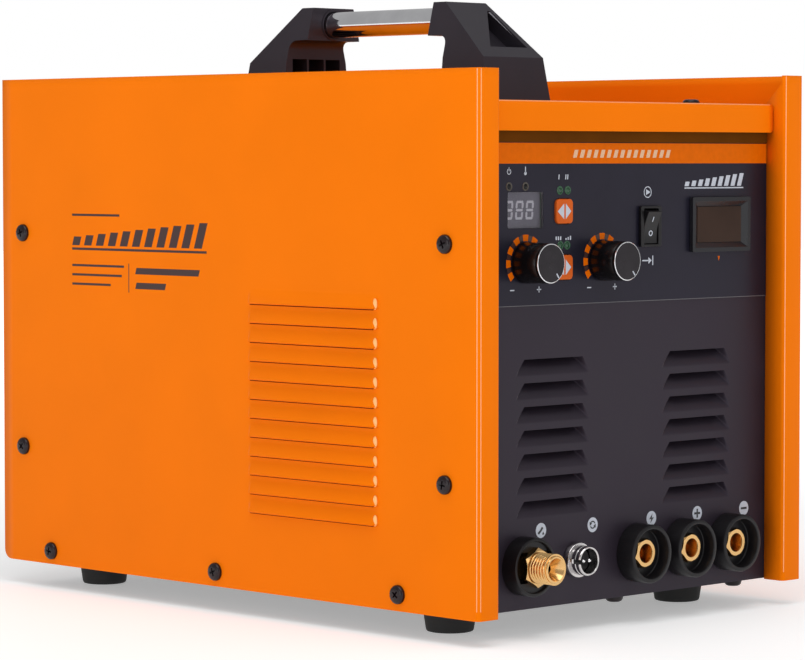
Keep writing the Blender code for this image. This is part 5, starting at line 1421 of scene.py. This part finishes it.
def rear_fittings():
    at, near, reach = middle("cable_gland"), REAR_FACE + 0.3 * mm, high("cable_gland").y
    front = low("cable_gland").y
    base = prism(hexagon(23.5 * mm, (at.x, at.z), 0.2), (near, near + 5.4 * mm))
    limit = [(0, near), (12.2 * mm, near), (13 * mm, near + 0.8 * mm), (13 * mm, near + 4.6 * mm), (12.2 * mm, near + 5.4 * mm), (0, near + 5.4 * mm)]
    base = boolean(base, turn(limit, (at.x, 0, at.z), "Y", 48), "INTERSECT")
    nut = [(0, front), (8.6 * mm, front), (8.6 * mm, near + 0.5 * mm), (8.2 * mm, near + 5 * mm), (0, near + 5 * mm)]
    base = boolean(base, turn(nut, (at.x, 0, at.z), "Y", 48), "UNION")
    dome = [(0, near + 5.2 * mm), (11.6 * mm, near + 5.6 * mm), (11.6 * mm, near + 9 * mm), (11.3 * mm, reach - 5.5 * mm)]
    dome += [(10.7 * mm, reach - 3.2 * mm), (9.6 * mm, reach - 1.2 * mm), (8.1 * mm, reach), (0, reach)]
    cap = turn(dome, (at.x, 0, at.z), "Y", 48)
    grooves = bmesh.new()
    for i in range(16):
        angle = math.tau * i / 16
        centre = (at.x + 12.3 * mm * math.cos(angle), at.z + 12.3 * mm * math.sin(angle))
        prism(disc(1.1 * mm, centre, 10), (near + 6.6 * mm, reach - 4.5 * mm), "Y", grooves)
    base = boolean(base, boolean(cap, grooves), "UNION")
    base = boolean(base, turn([(0, front - mm), (5.2 * mm, front - mm), (5.2 * mm, reach + mm), (0, reach + mm)], (at.x, 0, at.z), "Y", 48))
    piece("gland_body", base, mats["black"], nodes=("cable_gland",), sharp=35)
    at, front, reach = middle("air_inlet"), low("air_inlet").y, high("air_inlet").y
    nut = prism(hexagon(17.4 * mm, (at.x, at.z), 0.5), (near, near + 4.2 * mm))
    limit = [(0, near - mm), (10 * mm, near - mm), (10 * mm, near + 3.4 * mm), (8.9 * mm, near + 4.3 * mm), (0, near + 4.3 * mm)]
    nut = boolean(nut, turn(limit, (at.x, 0, at.z), "Y", 48), "INTERSECT")
    stem = [(0, front), (6.7 * mm, front), (6.7 * mm, near + 0.5 * mm), (5.4 * mm, near + 3.8 * mm), (5.2 * mm, near + 5 * mm)]
    for i in range(3):
        start = near + (6.5 + 4.1 * i) * mm
        stem += [(5.2 * mm if i == 0 else 4.5 * mm, start), (5.6 * mm, start + 0.4 * mm), (4.4 * mm, start + 4.0 * mm)]
    stem += [(4.2 * mm, reach), (0, reach)]
    body = boolean(nut, turn(stem, (at.x, 0, at.z), "Y", 48), "UNION")
    bore = [(0, front - mm), (2.5 * mm, front - mm), (2.5 * mm, reach + mm), (0, reach + mm)]
    piece("air_tail", boolean(body, turn(bore, (at.x, 0, at.z), "Y", 32)), mats["brass"], nodes=("air_inlet",), sharp=32)


def inside():
    """What shows through the louvres and grille keeps its CAD shape, with its own finish."""
    carried("inner_baffle", mats["zinc"])
    for node in ("control_board", "power_board"):
        carried(node, mats["board"])
    for node in ("current_pot", "delay_pot", "compressor_rotor"):
        carried(node, mats["zinc"])
    carried("heat_sink", mats["aluminium"])
    carried("transformer", mats["ferrite"], 0.6 * mm)
    carried("output_choke", mats["copper"])
    for node in ("bus_capacitor_1", "bus_capacitor_2"):
        carried(node, mats["sleeve"])
    for node in ("compressor_motor", "compressor_cylinder"):
        carried(node, mats["aluminium"], 0.4 * mm)
    carried("solenoid_valve", mats["brass"], 0.4 * mm)
    for node in ("torch_hose", "compressor_hose"):
        carried(node, mats["hose"])
    carried("fan_frame", mats["black"], 0.6 * mm)


# ---------------------------------------------------------------- stage


def light(name, size, power, at, target=(0, 0, 0.15), colour=(1, 1, 1)):
    lamp = bpy.data.lights.new(name, "AREA")
    lamp.shape = "RECTANGLE"
    lamp.size, lamp.size_y = size
    lamp.energy = power
    lamp.color = colour
    obj = bpy.data.objects.new(name, lamp)
    obj.location = at
    obj.rotation_euler = (Vector(target) - Vector(at)).to_track_quat("-Z", "Y").to_euler()
    bpy.context.scene.collection.objects.link(obj)


def studio_world():
    """A world that is white where the camera sees it and dimmer as a light."""
    world = bpy.data.worlds.new("studio")
    bpy.context.scene.world = world
    world.use_nodes = True
    tree = world.node_tree
    background = tree.nodes["Background"]
    background.inputs["Color"].default_value = (1, 1, 1, 1)
    seen = tree.nodes.new("ShaderNodeLightPath").outputs["Is Camera Ray"]
    strength = tree.nodes.new("ShaderNodeMapRange")
    strength.inputs["To Min"].default_value = WORLD_LIGHT
    strength.inputs["To Max"].default_value = 1.0
    tree.links.new(seen, strength.inputs["Value"])
    tree.links.new(strength.outputs["Result"], background.inputs["Strength"])


def stage():
    scene = bpy.context.scene
    scene.view_settings.view_transform = "Standard"
    studio_world()
    floor = loose("floor", block((-6, 6), (-6, 6), (-0.02, -0.0002)))
    # Painted light: the floor glows, weaker near the case and stronger further out, so the far floor stays white and
    # the floor nearer the case is darker
    floor_finish = Finish("floor_painted_glow", (0.88, 0.88, 0.88), 0.6, Emission_Color=(1, 1, 1, 1))
    reach = floor_finish.node("ShaderNodeVectorMath")
    reach.operation = "LENGTH"
    floor_finish.link(floor_finish.where, reach.inputs[0])
    glow = floor_finish.ranged(reach.outputs["Value"], FLOOR_GLOW, 0.8, 0.5, 1.6)
    floor_finish.link(glow, floor_finish.shader.inputs["Emission Strength"])
    floor.data.materials.append(floor_finish.vary(0.6, 0.01, 0.05).mat)
    light("key_top", (1.5, 1.5), 15, (-0.5, -0.5, 1.8))
    light("fill_left", (1.0, 1.0), 5.2, (-1.9, -0.25, 0.35))
    light("fill_front", (0.9, 1.1), 3.9, (-0.4, -2.1, 0.6))
    camera = bpy.data.cameras.new("camera")
    camera.lens = 152.19
    camera.sensor_width = 36.0
    obj = bpy.data.objects.new("camera", camera)
    obj.location = (-1.37415, -1.41894, 0.25249)
    obj.rotation_euler = (math.radians(90 - 2.8859), 0, math.radians(-44.2471))
    scene.collection.objects.link(obj)
    scene.camera = obj


WORLD_LIGHT = 0.45
FLOOR_GLOW = 0.35

stage()
case()
all_screws()
front_graphics()
symbol_discs()
side_graphics()
display()
indicators()
buttons()
knobs()
rocker()
meter()
torch_outlet()
control_connector()
cable_sockets()
handle()
feet()
fan_guard()
fan_blades()
power_switch()
rear_fittings()
inside()
